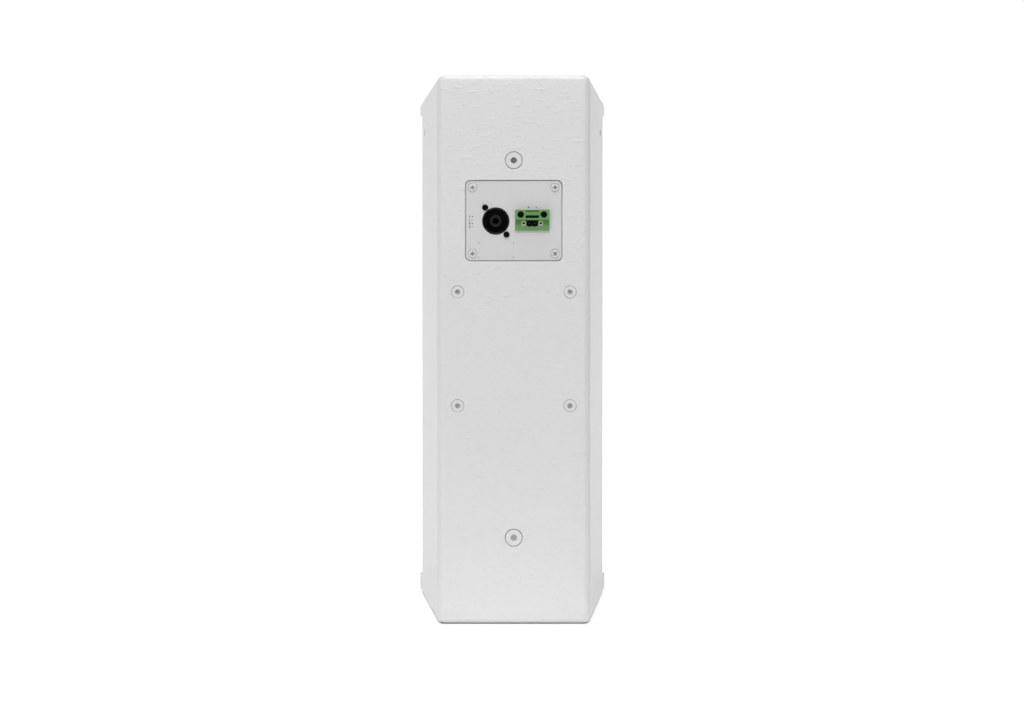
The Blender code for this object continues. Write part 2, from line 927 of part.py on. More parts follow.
def woofer(prefix, z):
    """One woofer, with heights measured forwards from the baffle's face."""
    at = (0, BAFFLE_FACE, z)

    def piece(name, profile, kind, ring=False):
        return turned(f"{prefix}_{name}", profile, at, -1, TURN, kind, ring)

    basket = piece(
        "woofer_basket",
        [
            (57.0, 3.3),
            (69.0, 3.3),
            (69.0, 0.3),
            (58.6, 0.3),
            (58.0, -5.0),
            (48.0, -32.0),
            (48.0, -35.0),
            (16.0, -35.0),
            (16.0, -32.0),
            (33.5, -32.0),
            (33.5, -25.0),
            (36.5, -25.0),
            (36.5, -32.0),
            (45.5, -32.0),
            (55.6, -5.0),
        ],
        "black_steel",
        ring=True,
    )
    for i in range(2):
        turn = math.radians(45 + 90 * i)
        window = block(
            f"{prefix}_basket_window_{i}", (-70, -30.0, -15), (70, -7.0, 15)
        )
        window.rotation_euler = (math.pi, turn, 0.0)
        window.location = Vector(at) * MM
        boolean(basket, window)
    piece(
        "woofer_front_plate",
        [(13.7, -35.3), (38.0, -35.3), (38.0, -41.3), (13.7, -41.3)],
        "bright_steel",
        ring=True,
    )
    piece(
        "woofer_magnet",
        [(20.0, -41.6), (45.0, -41.6), (45.0, -57.6), (20.0, -57.6)],
        "ferrite",
        ring=True,
    )
    piece(
        "woofer_yoke",
        [
            (0.0, -35.3),
            (11.9, -35.3),
            (11.9, -57.9),
            (40.0, -57.9),
            (40.0, -63.9),
            (0.0, -63.9),
        ],
        "bright_steel",
    )
    waves = [(13.5, 0.0)]
    for i in range(4):
        waves.append((17.0 + 4.8 * i, 1.1 if i % 2 == 0 else -1.1))
    waves.append((37.0, 0.0))
    level = -23.4
    piece(
        "woofer_spider",
        [(r, level + h + 0.3) for r, h in waves]
        + [(r, level + h - 0.6) for r, h in reversed(waves)],
        "cloth",
        ring=True,
    )
    piece(
        "woofer_voice_coil",
        [(12.5, -17.8), (13.1, -17.8), (13.1, -46.0), (12.5, -46.0)],
        "copper",
        ring=True,
    )
    radii = [7.0, 14.0]
    piece(
        "woofer_cone",
        [(0.0, cap_front(0))]
        + [(r, cap_front(r)) for r in radii]
        + [(20.0, cone_front(20.0)), (46.5, 3.3), (46.5, 2.2)]
        + [(14.2, -18.6), (14.2, -20.8), (13.4, -20.8), (13.4, -17.6)]
        + [(18.6, cone_front(18.6))]
        + [(r, cap_front(r) - 0.8) for r in reversed(radii)]
        + [(0.0, cap_front(0) - 0.8)],
        "paper_cone",
    )
    middle = 51.3
    over = [
        (middle + 4.2 * math.cos(a), 3.9 + 3.4 * math.sin(a))
        for a in [math.pi * (1 - i / 4) for i in range(5)]
    ]
    under = [
        (middle + 3.2 * math.cos(a), 2.9 + 3.4 * math.sin(a))
        for a in [math.pi * i / 4 for i in range(5)]
    ]
    piece(
        "woofer_surround",
        [(46.8, 3.9)]
        + over[1:-1]
        + [(55.5, 4.6), (61.0, 4.6), (61.0, 3.6), (55.0, 3.6)]
        + under[1:-1]
        + [(48.0, 2.4), (46.8, 2.4)],
        "soft_rubber",
        ring=True,
    )


for prefix, z in zip(("lower", "upper"), WOOFER_Z):
    woofer(prefix, z)


# ---------------------------------------------------------------- high frequency
def loop(half_x, half_z, power, height, count=24):
    """One closed section of the waveguide: a circle at power 2, squarer above it."""
    points = []
    for i in range(count):
        a = 2 * math.pi * (i + 0.5) / count
        c, s = math.cos(a), math.sin(a)
        k = (abs(c) ** power + abs(s) ** power) ** (-1.0 / power)
        points.append(
            Vector((half_x * c * k, BAFFLE_FACE - height, HF_Z + half_z * s * k)) * MM
        )
    return points


def waveguide():
    """A horn from a round throat to a tall mouth, with a mounting flange: unlike
    sections joined in a closed ring of loops."""
    inner, outer = [], []
    for i in range(5):
        t = i / 4
        flare = t**1.6
        height = -46.0 + (4.3 + 46.0) * t
        half_x = 12.7 + (54.0 - 12.7) * flare
        half_z = 12.7 + (60.0 - 12.7) * t**0.9
        power = 2.0 + 4.0 * t
        inner.append(loop(half_x, half_z, power, height))
        if i < 4:
            outer.append(loop(half_x + 3.0, half_z + 3.0, power, height))
    rings = list(reversed(inner))
    rings += [loop(12.7, 12.7, 2.0, -50.0)]
    rings += [loop(30.0, 30.0, 2.0, -50.0), loop(30.0, 30.0, 2.0, -46.0)]
    rings += outer
    rings += [loop(57.0, 63.0, 6.0, 0.3)]
    rings += [loop(70.0, 75.0, 16.0, 0.3), loop(70.0, 75.0, 16.0, 4.3)]
    bm = bmesh.new()
    made = [[bm.verts.new(p) for p in ring] for ring in rings]
    count = len(made[0])
    for a, b in zip(made, made[1:] + made[:1]):
        for i in range(count):
            j = (i + 1) % count
            bm.faces.new((a[i], a[j], b[j], b[i]))
    return smooth(place("waveguide", mesh_from("waveguide", bm), "black_plastic"))


waveguide()
AT_HF = (0, BAFFLE_FACE, HF_Z)
turned(
    "compression_driver",
    [
        (0.0, -84.0),
        (27.0, -84.0),
        (27.0, -74.0),
        (12.7, -72.0),
        (12.7, -50.3),
        (40.0, -50.3),
        (41.0, -52.0),
        (41.0, -90.0),
        (38.0, -93.0),
        (0.0, -93.0),
    ],
    AT_HF,
    -1,
    TURN,
    "black_steel",
)


def dome(r):
    return -77.0 - 4.5 * (1 - (r / 21.0) ** 2)


DOME_T = 0.6
dome_r = [0.0, 11.0, 21.0]
turned(
    "hf_diaphragm",
    [(r, dome(r)) for r in dome_r]
    + [(25.5, -77.0), (25.5, -77.0 - DOME_T)]
    + [(r, dome(r) - DOME_T) for r in reversed(dome_r)],
    AT_HF,
    -1,
    TURN,
    "titanium",
)
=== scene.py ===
"""Looks of a white column loudspeaker: painted cabinet, perforated grille, rear
terminal plate with its connectors, fasteners and the drivers inside.

Everything is modelled in millimetres in the frame's own axes (front -Y, rear +Y,
+Z up) and scaled to metres when a mesh is made.
"""

import math

import bmesh
import bpy
import numpy as np
from mathutils import Matrix, Vector, noise


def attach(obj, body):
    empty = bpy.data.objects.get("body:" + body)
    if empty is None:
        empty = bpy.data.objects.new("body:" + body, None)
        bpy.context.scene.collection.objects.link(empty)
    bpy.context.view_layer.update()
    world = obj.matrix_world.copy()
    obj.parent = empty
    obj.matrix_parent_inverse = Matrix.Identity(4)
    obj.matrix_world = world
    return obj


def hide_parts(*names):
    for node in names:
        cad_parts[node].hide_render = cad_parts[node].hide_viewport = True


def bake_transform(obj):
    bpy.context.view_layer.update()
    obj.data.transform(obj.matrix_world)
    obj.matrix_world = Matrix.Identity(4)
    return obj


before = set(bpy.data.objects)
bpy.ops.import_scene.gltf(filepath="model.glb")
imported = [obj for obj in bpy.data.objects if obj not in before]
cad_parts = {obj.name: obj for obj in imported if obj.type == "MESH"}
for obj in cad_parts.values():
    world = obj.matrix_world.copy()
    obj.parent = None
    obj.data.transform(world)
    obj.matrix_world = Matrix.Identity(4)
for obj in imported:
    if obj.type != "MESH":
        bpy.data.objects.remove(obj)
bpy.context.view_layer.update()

MM = 0.001
SCENE = bpy.context.scene

# ------------------------------------------------------------------ dimensions
HEIGHT, FRONT_W, REAR_W = 488.4, 183.6, 135.2
Y_FRONT, Y_REAR = -97.0, 93.0
PANEL, TOP_T, BOTTOM_T, GAP = 12.0, 15.0, 19.5, 0.3
EDGE_R, REAR_EDGE_R = 6.5, 5.0
FLARE = (FRONT_W - REAR_W) / 2 / (Y_REAR - Y_FRONT)
SLANT = math.atan(FLARE)
GRILLE_T, GRILLE_BACK, FLANGE_IN, FLANGE_DEPTH, BEND_R = 1.2, 0.6, 1.6, 24.0, 4.0
REBATE = FLANGE_IN + GRILLE_T + GAP
SIDE_FRONT = Y_FRONT + GRILLE_BACK + GRILLE_T + GAP
FASTENER_FACE = Y_REAR - 0.3
PLATE_FACE, PLATE_Z = Y_REAR - 0.8, 358.4
PLATE_W, PLATE_H, PLATE_T, PLATE_R = 84.8, 70.6, 2.0, 4.0
PLATE_SCREW_X, PLATE_SCREW_Z, POCKET_CLEAR = 36.6, 29.4, 0.85
SOCKET_X, SOCKET_Z = 16.0, 358.1
SOCKET_SCREW = (9.5, 12.0)
HEADER_X, HEADER_Z = -16.4, 358.7
HEADER_SPLIT, HEADER_SCREW_Z, INSERT_Z = 359.05, 363.6, 356.0
HEADER_TOP, HEADER_LOW, HEADER_SLOPE = Y_REAR + 4.0, Y_REAR + 0.95, 1.35
BAFFLE_FACE = Y_FRONT + 18.0
WOOFER_Z = {"lower": 95.2, "upper": 393.2}
HF_Z = 244.2
GRILLE_SCREW_Z = (36.0, 456.9)
SIDE_HOLE = (-40.0, 451.4)
BACK = Vector((0, 1, 0))
FRONT = Vector((0, -1, 0))


def half_width(y):
    return FRONT_W / 2 - FLARE * (y - Y_FRONT)


def below_side(y, depth):
    return half_width(y) - depth / math.cos(SLANT)


# ------------------------------------------------------------------ mesh helpers
def to_object(name, bm, angle=35.0, weighted=False):
    """A bmesh in millimetres becomes an object in metres, smooth up to an angle."""
    bmesh.ops.scale(bm, vec=(MM, MM, MM), verts=bm.verts[:])
    bmesh.ops.recalc_face_normals(bm, faces=bm.faces[:])
    mesh = bpy.data.meshes.new(name)
    bm.to_mesh(mesh)
    bm.free()
    obj = bpy.data.objects.new(name, mesh)
    SCENE.collection.objects.link(obj)
    shade(obj, angle, weighted)
    return obj


def shade(obj, angle=35.0, weighted=False):
    obj.data.shade_smooth()
    obj.data.set_sharp_from_angle(angle=math.radians(angle))
    if weighted:
        normals = obj.modifiers.new("normals", "WEIGHTED_NORMAL")
        normals.keep_sharp = True
        normals.weight = 80


def settle(obj):
    """Replace an object's mesh with what its modifiers make of it."""
    bpy.context.view_layer.update()
    graph = bpy.context.evaluated_depsgraph_get()
    made = bpy.data.meshes.new_from_object(obj.evaluated_get(graph))
    old = obj.data
    obj.modifiers.clear()
    obj.data = made
    made.name = obj.name
    bpy.data.meshes.remove(old)
    return obj


def cut(obj, cutters, operation="DIFFERENCE"):
    """Cut a list of bmeshes out of an object, one after the other."""
    helpers = []
    for i, bm in enumerate(cutters):
        helper = to_object(f"helper_{i}", bm)
        step = obj.modifiers.new(f"cut_{i}", "BOOLEAN")
        step.operation = operation
        step.object = helper
        step.solver = "EXACT"
        helpers.append(helper)
    settle(obj)
    for helper in helpers:
        mesh = helper.data
        bpy.data.objects.remove(helper, do_unlink=True)
        bpy.data.meshes.remove(mesh)
    bm = bmesh.new()
    bm.from_mesh(obj.data)
    bmesh.ops.remove_doubles(bm, verts=bm.verts[:], dist=2e-7)
    bmesh.ops.dissolve_degenerate(bm, edges=bm.edges[:], dist=2e-7)
    bm.to_mesh(obj.data)
    bm.free()
    return obj


def soften(points, seg=4, closed=False):
    """Round the corners of a line. A point is (a, b) or (a, b, radius)."""
    out, n = [], len(points)
    for i, p in enumerate(points):
        radius = p[2] if len(p) > 2 else 0.0
        if radius <= 0 or (not closed and i in (0, n - 1)):
            out.append((p[0], p[1]))
            continue
        here = Vector(p[:2])
        a, b = Vector(points[i - 1][:2]) - here, Vector(points[(i + 1) % n][:2]) - here
        la, lb = a.length, b.length
        a, b = a / la, b / lb
        angle = a.angle(b)
        reach = min(radius / math.tan(angle / 2), la * 0.49, lb * 0.49)
        r = reach * math.tan(angle / 2)
        centre = here + (a + b).normalized() * (r / math.sin(angle / 2))
        s, e = here + a * reach - centre, here + b * reach - centre
        sweep = math.pi - angle
        for k in range(seg + 1):
            t = k / seg
            v = (s * math.sin((1 - t) * sweep) + e * math.sin(t * sweep)) / math.sin(
                sweep
            )
            out.append((centre.x + v.x, centre.y + v.y))
    return out


def axes_for(axis):
    axis = Vector(axis).normalized()
    ref = Vector((0, 0, 1)) if abs(axis.z) < 0.9 else Vector((1, 0, 0))
    u = ref.cross(axis).normalized()
    return axis, u, axis.cross(u)


def lathe(profile, origin, axis, sides=48, closed=False, phase=0.0):
    """Turn (radius, height) points about an axis."""
    axis, u, v = axes_for(axis)
    bm = bmesh.new()
    turn = [phase + 2 * math.pi * i / sides for i in range(sides)]
    rings = []
    for r, h in profile:
        c = Vector(origin) + axis * h
        if r < 1e-5:
            rings.append([bm.verts.new(c)])
        else:
            rings.append(
                [bm.verts.new(c + (u * math.cos(a) + v * math.sin(a)) * r) for a in turn]
            )
    pairs = list(zip(rings, rings[1:]))
    if closed:
        pairs.append((rings[-1], rings[0]))
    for a, b in pairs:
        for i in range(sides):
            j = (i + 1) % sides
            if len(a) == 1 and len(b) == 1:
                continue
            if len(a) == 1:
                bm.faces.new((a[0], b[i], b[j]))
            elif len(b) == 1:
                bm.faces.new((a[i], b[0], a[j]))
            else:
                bm.faces.new((a[i], b[i], b[j], a[j]))
    return bm


def loft(loops, closed=False):
    """Join loops of the same count; the ends are capped unless it closes on itself."""
    bm = bmesh.new()
    made = [[bm.verts.new(p) for p in ring] for ring in loops]
    n = len(made[0])
    pairs = list(zip(made, made[1:]))
    if closed:
        pairs.append((made[-1], made[0]))
    for a, b in pairs:
        for i in range(n):
            j = (i + 1) % n
            bm.faces.new((a[i], a[j], b[j], b[i]))
    if not closed:
        bm.faces.new(made[0])
        bm.faces.new(list(reversed(made[-1])))
    return bm


def plan_prism(points, low, high):
    """A prism on an (x, y) outline between two heights."""
    return loft(
        [
            [Vector((x, y, low)) for x, y in points],
            [Vector((x, y, high)) for x, y in points],
        ]
    )


def rear_prism(points, low, high):
    """A prism on an (x, z) outline between two depths in y."""
    return loft(
        [
            [Vector((x, low, z)) for x, z in points],
            [Vector((x, high, z)) for x, z in points],
        ]
    )


def box(lo, hi):
    (x0, y0, z0), (x1, y1, z1) = lo, hi
    return plan_prism([(x0, y0), (x1, y0), (x1, y1), (x0, y1)], z0, z1)


def round_rect(cx, cz, w, h, r, grow=0.0, seg=6):
    """Points of a rounded rectangle, grown outwards by an offset."""
    w, h, r = w + 2 * grow, h + 2 * grow, max(r + grow, 0.05)
    points = []
    for sx, sz, start in ((1, 1, 0.0), (-1, 1, 0.5), (-1, -1, 1.0), (1, -1, 1.5)):
        for i in range(seg + 1):
            a = (start + 0.5 * i / seg) * math.pi
            points.append(
                (
                    cx + sx * (w / 2 - r) + r * math.cos(a),
                    cz + sz * (h / 2 - r) + r * math.sin(a),
                )
            )
    return points


def rear_loops(outline, levels):
    """Loops of an outline function outline(grow) at (y, grow) levels."""
    return [[Vector((x, y, z)) for x, z in outline(grow)] for y, grow in levels]


def mouth(top, radius, seg=5, stop=78.0):
    """(height, growth) steps of a rounded mouth that meets a flat face at top."""
    steps = []
    for i in range(seg + 1):
        a = math.radians(stop) * i / seg
        steps.append((top - radius + radius * math.sin(a), radius - radius * math.cos(a)))
    return steps


def merge(*bms):
    """Several bmeshes in one."""
    out = bms[0]
    for other in bms[1:]:
        lookup = {v: out.verts.new(v.co) for v in other.verts}
        for f in other.faces:
            out.faces.new([lookup[v] for v in f.verts])
        other.free()
    return out


# ------------------------------------------------------------------ materials
class Look:
    """A Principled material built from nodes."""

    def __init__(self, name, colour, rough, metal=0.0, spec=0.5):
        self.mat = bpy.data.materials.new(name)
        self.mat.use_nodes = True
        self.tree = self.mat.node_tree
        self.bsdf = self.tree.nodes["Principled BSDF"]
        self.set("Base Color", (*colour, 1.0))
        self.set("Roughness", rough)
        self.set("Metallic", metal)
        self.set("Specular IOR Level", spec)
        self.colour = colour
        self.place = self.node("ShaderNodeTexCoord").outputs["Object"]

    def set(self, socket, value):
        self.bsdf.inputs[socket].default_value = value

    def node(self, kind, **values):
        made = self.tree.nodes.new(kind)
        for key, value in values.items():
            if hasattr(made, key):
                setattr(made, key, value)
            else:
                made.inputs[key.replace("_", " ")].default_value = value
        return made

    def link(self, a, b):
        self.tree.links.new(a, b)

    def stretched(self, scale):
        m = self.node("ShaderNodeMapping")
        m.inputs["Scale"].default_value = scale
        self.link(self.place, m.inputs["Vector"])
        return m.outputs["Vector"]

    def noise(self, scale, detail=2.0, rough=0.5, where=None, distort=0.0):
        n = self.node("ShaderNodeTexNoise")
        n.inputs["Scale"].default_value = scale
        n.inputs["Detail"].default_value = detail
        n.inputs["Roughness"].default_value = rough
        n.inputs["Distortion"].default_value = distort
        self.link(where or self.place, n.inputs["Vector"])
        return n.outputs["Fac"]

    def cells(self, scale, feature="F1", where=None, out="Distance"):
        n = self.node("ShaderNodeTexVoronoi")
        n.feature = feature
        n.inputs["Scale"].default_value = scale
        self.link(where or self.place, n.inputs["Vector"])
        return n.outputs[out]

    def wave(self, scale, direction="X", distort=0.0, where=None, detail=0.0):
        n = self.node("ShaderNodeTexWave")
        n.bands_direction = direction
        n.inputs["Scale"].default_value = scale
        n.inputs["Distortion"].default_value = distort
        n.inputs["Detail"].default_value = detail
        self.link(where or self.place, n.inputs["Vector"])
        return n.outputs["Fac"]

    def ramp(self, value, low, high, stops=(0.0, 1.0)):
        r = self.node("ShaderNodeValToRGB")
        e = r.color_ramp.elements
        e[0].position, e[1].position = stops
        e[0].color = (*low, 1.0) if len(low) == 3 else low
        e[1].color = (*high, 1.0) if len(high) == 3 else high
        self.link(value, r.inputs["Fac"])
        return r.outputs["Color"]

    def span(self, value, low, high, start=0.0, end=1.0):
        m = self.node("ShaderNodeMapRange")
        m.inputs["From Min"].default_value = start
        m.inputs["From Max"].default_value = end
        m.inputs["To Min"].default_value = low
        m.inputs["To Max"].default_value = high
        self.link(value, m.inputs["Value"])
        return m.outputs["Result"]

    def math(self, op, a, b):
        m = self.node("ShaderNodeMath", operation=op)
        for i, v in enumerate((a, b)):
            if isinstance(v, (int, float)):
                m.inputs[i].default_value = v
            else:
                self.link(v, m.inputs[i])
        return m.outputs[0]

    def mix(self, factor, a, b, how="MIX"):
        m = self.node("ShaderNodeMix", data_type="RGBA", blend_type=how)
        for i, v in ((0, factor), (6, a), (7, b)):
            if isinstance(v, (int, float)):
                m.inputs[i].default_value = v
            elif isinstance(v, tuple):
                m.inputs[i].default_value = (*v, 1.0)
            else:
                self.link(v, m.inputs[i])
        return m.outputs[2]

    def tint(self, value, spread):
        """Vary the base colour a little by a value from 0 to 1."""
        low = tuple(c * (1 - spread) for c in self.colour)
        high = tuple(min(1.0, c * (1 + spread)) for c in self.colour)
        return self.ramp(value, low, high)

    def base(self, colour):
        self.link(colour, self.bsdf.inputs["Base Color"])

    def rough(self, value):
        self.link(value, self.bsdf.inputs["Roughness"])

    def bump(self, height, distance, strength=1.0, after=None):
        b = self.node("ShaderNodeBump")
        b.inputs["Strength"].default_value = strength
        b.inputs["Distance"].default_value = distance
        self.link(height, b.inputs["Height"])
        if after:
            self.link(after, b.inputs["Normal"])
        self.link(b.outputs["Normal"], self.bsdf.inputs["Normal"])
        return b.outputs["Normal"]


def paint_textured():
    """White structured paint on wood: fine pimples and longer rolled streaks."""
    k = Look("paint_white_textured", (0.80, 0.803, 0.80), 0.42, spec=0.5)
    cloud = k.noise(9.0, 3.0)
    fine = k.noise(900.0, 3.0, 0.62)
    lump = k.noise(370.0, 0.4, 0.4, k.stretched((0.62, 0.8, 1.0)), 0.1)
    pimple = k.cells(430.0, "SMOOTH_F1")
    k.base(
        k.mix(
            k.span(lump, 0.0, 0.10, 0.60, 0.80),
            k.tint(cloud, 0.012),
            (0.72, 0.724, 0.72),
        )
    )
    k.rough(k.span(fine, 0.36, 0.52, 0.3, 0.7))
    lumps = k.bump(k.span(lump, 0.0, 1.0, 0.58, 0.82), 0.00030, 0.9)
    height = k.math("ADD", k.math("MULTIPLY", pimple, -0.6), fine)
    k.bump(height, 0.00018, 0.55, lumps)
    return k.mat


def paint_powder(name, colour, rough=0.46, grain=900.0, depth=0.00006, speck=0.02):
    """Sprayed powder coat on metal, with a fine orange-peel skin."""
    k = Look(name, colour, rough, spec=0.45)
    fine = k.noise(grain, 3.0, 0.6)
    cloud = k.noise(18.0, 2.0)
    k.base(k.mix(k.span(fine, 0.0, 0.25, 0.35, 0.75), k.tint(cloud, speck), tuple(c * 0.86 for c in colour)))
    k.rough(k.span(cloud, rough - 0.05, rough + 0.08, 0.3, 0.7))
    k.bump(fine, depth, 0.6)
    return k.mat


def plastic(name, colour, rough=0.42, grain=1400.0, depth=0.00003, vary=0.06, spec=0.5):
    """Moulded plastic with spark-eroded grain and slight flow marks."""
    k = Look(name, colour, rough, spec=spec)
    fine = k.noise(grain, 2.0, 0.6)
    flow = k.noise(60.0, 2.0, 0.5, k.stretched((1.0, 1.0, 0.35)), 0.6)
    k.base(k.tint(flow, vary))
    k.rough(k.span(flow, rough - 0.07, rough + 0.09, 0.3, 0.7))
    k.bump(fine, depth, 0.5)
    return k.mat


def metal(name, colour, rough=0.3, streak=(1.0, 1.0, 1.0), vary=0.10, depth=0.00001):
    """Plated or blackened metal with fine streaks."""
    k = Look(name, colour, rough, 1.0)
    line = k.noise(900.0, 3.0, 0.6, k.stretched(streak))
    blot = k.noise(160.0, 3.0)
    k.base(k.tint(blot, vary))
    k.rough(k.span(line, rough - 0.08, rough + 0.14, 0.3, 0.7))
    k.bump(line, depth, 0.5)
    return k.mat


def foam_look():
    """Open-cell acoustic foam: pale struts, with the pores between them darkened as painted shade."""
    k = Look("foam_open_cell", (0.36, 0.365, 0.365), 0.95, spec=0.15)
    pore = k.cells(700.0)
    small = k.cells(1500.0)
    both = k.math("MULTIPLY", pore, k.span(small, 0.6, 1.2))
    k.base(k.ramp(both, (0.10, 0.10, 0.105), (0.44, 0.445, 0.445), (0.05, 0.55)))
    k.rough(k.span(pore, 0.88, 1.0))
    k.bump(both, 0.0007, 0.8)
    k.set("Sheen Weight", 0.15)
    return k.mat


def wood_look(name, light, dark):
    """Plywood face with long grain."""
    k = Look(name, light, 0.72, spec=0.25)
    where = k.stretched((1.0, 1.0, 0.06))
    grain = k.noise(260.0, 5.0, 0.65, where, 1.2)
    band = k.wave(26.0, "X", 5.0, where, 2.0)
    k.base(k.ramp(k.math("ADD", k.math("MULTIPLY", grain, 0.7), k.math("MULTIPLY", band, 0.3)), dark, light, (0.25, 0.75)))
    k.rough(k.span(grain, 0.62, 0.85))
    k.bump(grain, 0.0002, 0.5)
    return k.mat


def fibre_look(name, colour, rough=0.86):
    """Pressed pulp: short crossing fibres."""
    k = Look(name, colour, rough, spec=0.25)
    a = k.noise(900.0, 4.0, 0.7, k.stretched((1.0, 0.3, 0.25)), 1.5)
    b = k.noise(900.0, 4.0, 0.7, k.stretched((0.25, 0.3, 1.0)), 1.5)
    both = k.math("MAXIMUM", a, b)
    k.base(k.ramp(both, tuple(c * 0.6 for c in colour), tuple(c * 1.9 for c in colour), (0.35, 0.8)))
    k.rough(k.span(both, rough - 0.1, rough + 0.08))
    k.bump(both, 0.00012, 0.6)
    return k.mat


def rubber_look():
    k = Look("rubber_black", (0.022, 0.022, 0.023), 0.58, spec=0.4)
    fine = k.noise(800.0, 3.0, 0.6)
    bloom = k.noise(45.0, 3.0)
    k.base(k.ramp(bloom, (0.017, 0.017, 0.018), (0.034, 0.034, 0.036), (0.3, 0.8)))
    k.rough(k.span(bloom, 0.5, 0.7))
    k.bump(fine, 0.00004, 0.5)
    return k.mat


def weave_look():
    """Resin-dipped cloth: a plain weave of crossed waves."""
    k = Look("cloth_resin", (0.52, 0.36, 0.14), 0.72, spec=0.3)
    a, b = k.wave(420.0, "X"), k.wave(420.0, "Z")
    both = k.math("MULTIPLY", a, b)
    k.base(k.ramp(both, (0.30, 0.19, 0.06), (0.60, 0.43, 0.18)))
    k.rough(k.span(both, 0.6, 0.82))
    k.bump(both, 0.0002, 0.7)
    return k.mat


def winding_look():
    """Enamelled copper wire laid turn by turn along the coil's axis."""
    k = Look("copper_winding", (0.78, 0.33, 0.14), 0.28, 1.0)
    turns = k.wave(620.0, "Y")
    blot = k.noise(240.0, 2.0)
    k.base(k.mix(k.span(turns, 0.0, 0.75, 0.0, 0.45), (0.22, 0.07, 0.03), k.tint(blot, 0.12)))
    k.rough(k.span(blot, 0.22, 0.38))
    k.bump(turns, 0.0002, 0.8)
    return k.mat


def board_look():
    """Solder mask over copper tracks."""
    k = Look("board_green_mask", (0.03, 0.15, 0.07), 0.36)
    b = k.node("ShaderNodeTexBrick")
    b.inputs["Scale"].default_value = 60.0
    b.inputs["Mortar Size"].default_value = 0.09
    b.inputs["Color1"].default_value = (0.035, 0.17, 0.08, 1)
    b.inputs["Color2"].default_value = (0.028, 0.135, 0.065, 1)
    b.inputs["Mortar"].default_value = (0.05, 0.25, 0.11, 1)
    turn = k.node("ShaderNodeMapping")
    turn.inputs["Rotation"].default_value = (math.pi / 2, 0, 0)
    k.link(k.place, turn.inputs["Vector"])
    k.link(turn.outputs["Vector"], b.inputs["Vector"])
    k.base(b.outputs["Color"])
    k.rough(k.span(k.noise(300.0), 0.28, 0.46))
    k.bump(b.outputs["Fac"], 0.00005, 0.6)
    return k.mat


def ferrite_look():
    k = Look("ferrite_ground", (0.055, 0.055, 0.06), 0.66, spec=0.45)
    pit = k.cells(500.0)
    cloud = k.noise(70.0, 4.0)
    k.base(k.ramp(cloud, (0.035, 0.035, 0.038), (0.085, 0.085, 0.09), (0.3, 0.75)))
    k.rough(k.span(pit, 0.55, 0.8, 0.0, 0.6))
    k.bump(pit, 0.00008, 0.5)
    return k.mat


def ink_look():
    """Screen-printed ink, a little broken at the edges of its mesh."""
    k = Look("ink_black", (0.02, 0.02, 0.022), 0.55)
    fine = k.noise(2200.0, 2.0)
    k.base(k.ramp(fine, (0.014, 0.014, 0.015), (0.045, 0.045, 0.047), (0.3, 0.8)))
    k.rough(k.span(fine, 0.48, 0.66))
    return k.mat


PAINT = paint_textured()
POWDER = paint_powder("powder_white", (0.80, 0.803, 0.80))
SCREW_WHITE = paint_powder("screw_white", (0.80, 0.802, 0.80), 0.40, 1300.0, 0.00003)
PLATE_GREY = paint_powder("plate_grey", (0.73, 0.733, 0.735), 0.50, 1500.0, 0.00002, 0.012)
PLATE_SCREW = paint_powder("plate_screw_grey", (0.78, 0.783, 0.785), 0.36, 1500.0, 0.00002)
BLACK = plastic("plastic_black", (0.0045, 0.0045, 0.0048), 0.36, spec=0.30)
BLACK_CORE = plastic("plastic_black_core", (0.007, 0.007, 0.0074), 0.46, spec=0.32)
GREEN = plastic("plastic_green", (0.150, 0.340, 0.105), 0.44, vary=0.05)
BLACKENED = metal("steel_blackened", (0.016, 0.016, 0.017), 0.40)
SOCKET_STEEL = metal("steel_socket_dark", (0.16, 0.16, 0.165), 0.42)
# Grey for the hex sockets, darker than the screw paint: it carries part of the recess's shade as painted shade.
SOCKET_GREY = paint_powder("steel_socket_grey", (0.55, 0.55, 0.555), 0.55, 1300.0, 0.00003)
# A darker grey for the plate screws' cross recesses: painted shade in the cross.
CROSS_SHADE_GREY = paint_powder("steel_cross_painted_shade", (0.39, 0.39, 0.395), 0.50, 1500.0, 0.00002)
NICKEL = metal("steel_nickel", (0.88, 0.88, 0.87), 0.46)
ZINC = metal("steel_zinc", (0.66, 0.66, 0.65), 0.26, (1.0, 0.15, 1.0))
BRASS = metal("brass_contact", (0.74, 0.55, 0.26), 0.26)
FOAM = foam_look()
PLY = wood_look("plywood_raw", (0.62, 0.45, 0.27), (0.40, 0.26, 0.14))
STAINED = wood_look("plywood_black", (0.045, 0.044, 0.043), (0.016, 0.016, 0.016))
PULP = fibre_look("cone_pulp", (0.032, 0.032, 0.033))
RUBBER = rubber_look()
CLOTH = weave_look()
WINDING = winding_look()
BOARD = board_look()
FERRITE = ferrite_look()
SLEEVE = plastic("sleeve_black", (0.018, 0.018, 0.022), 0.24, 300.0)
FOIL = metal("foil_titanium", (0.58, 0.59, 0.61), 0.24, (0.3, 1.0, 0.3))
BASKET = paint_powder("basket_black", (0.02, 0.02, 0.021), 0.48, 1000.0)
INK = ink_look()


def wear(obj, *materials):
    obj.data.materials.clear()
    for m in materials:
        obj.data.materials.append(m)
    return obj


def piece(obj, slot, *nodes, body="cabinet"):
    """Ride a finished piece on a body, in the place of the nodes it stands for."""
    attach(obj, body)
    if nodes:
        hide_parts(*nodes)
    return obj


def paint_faces(obj, index, test):
    """Give the faces whose middle (in mm) passes a test another material."""
    for p in obj.data.polygons:
        if test(p.center / MM, p.normal):
            p.material_index = index


# ------------------------------------------------------------------ cabinet
RIG_Z, BRACKET_X, BRACKET_Z = (76.6, 412.0), 50.0, (193.8, 295.0)


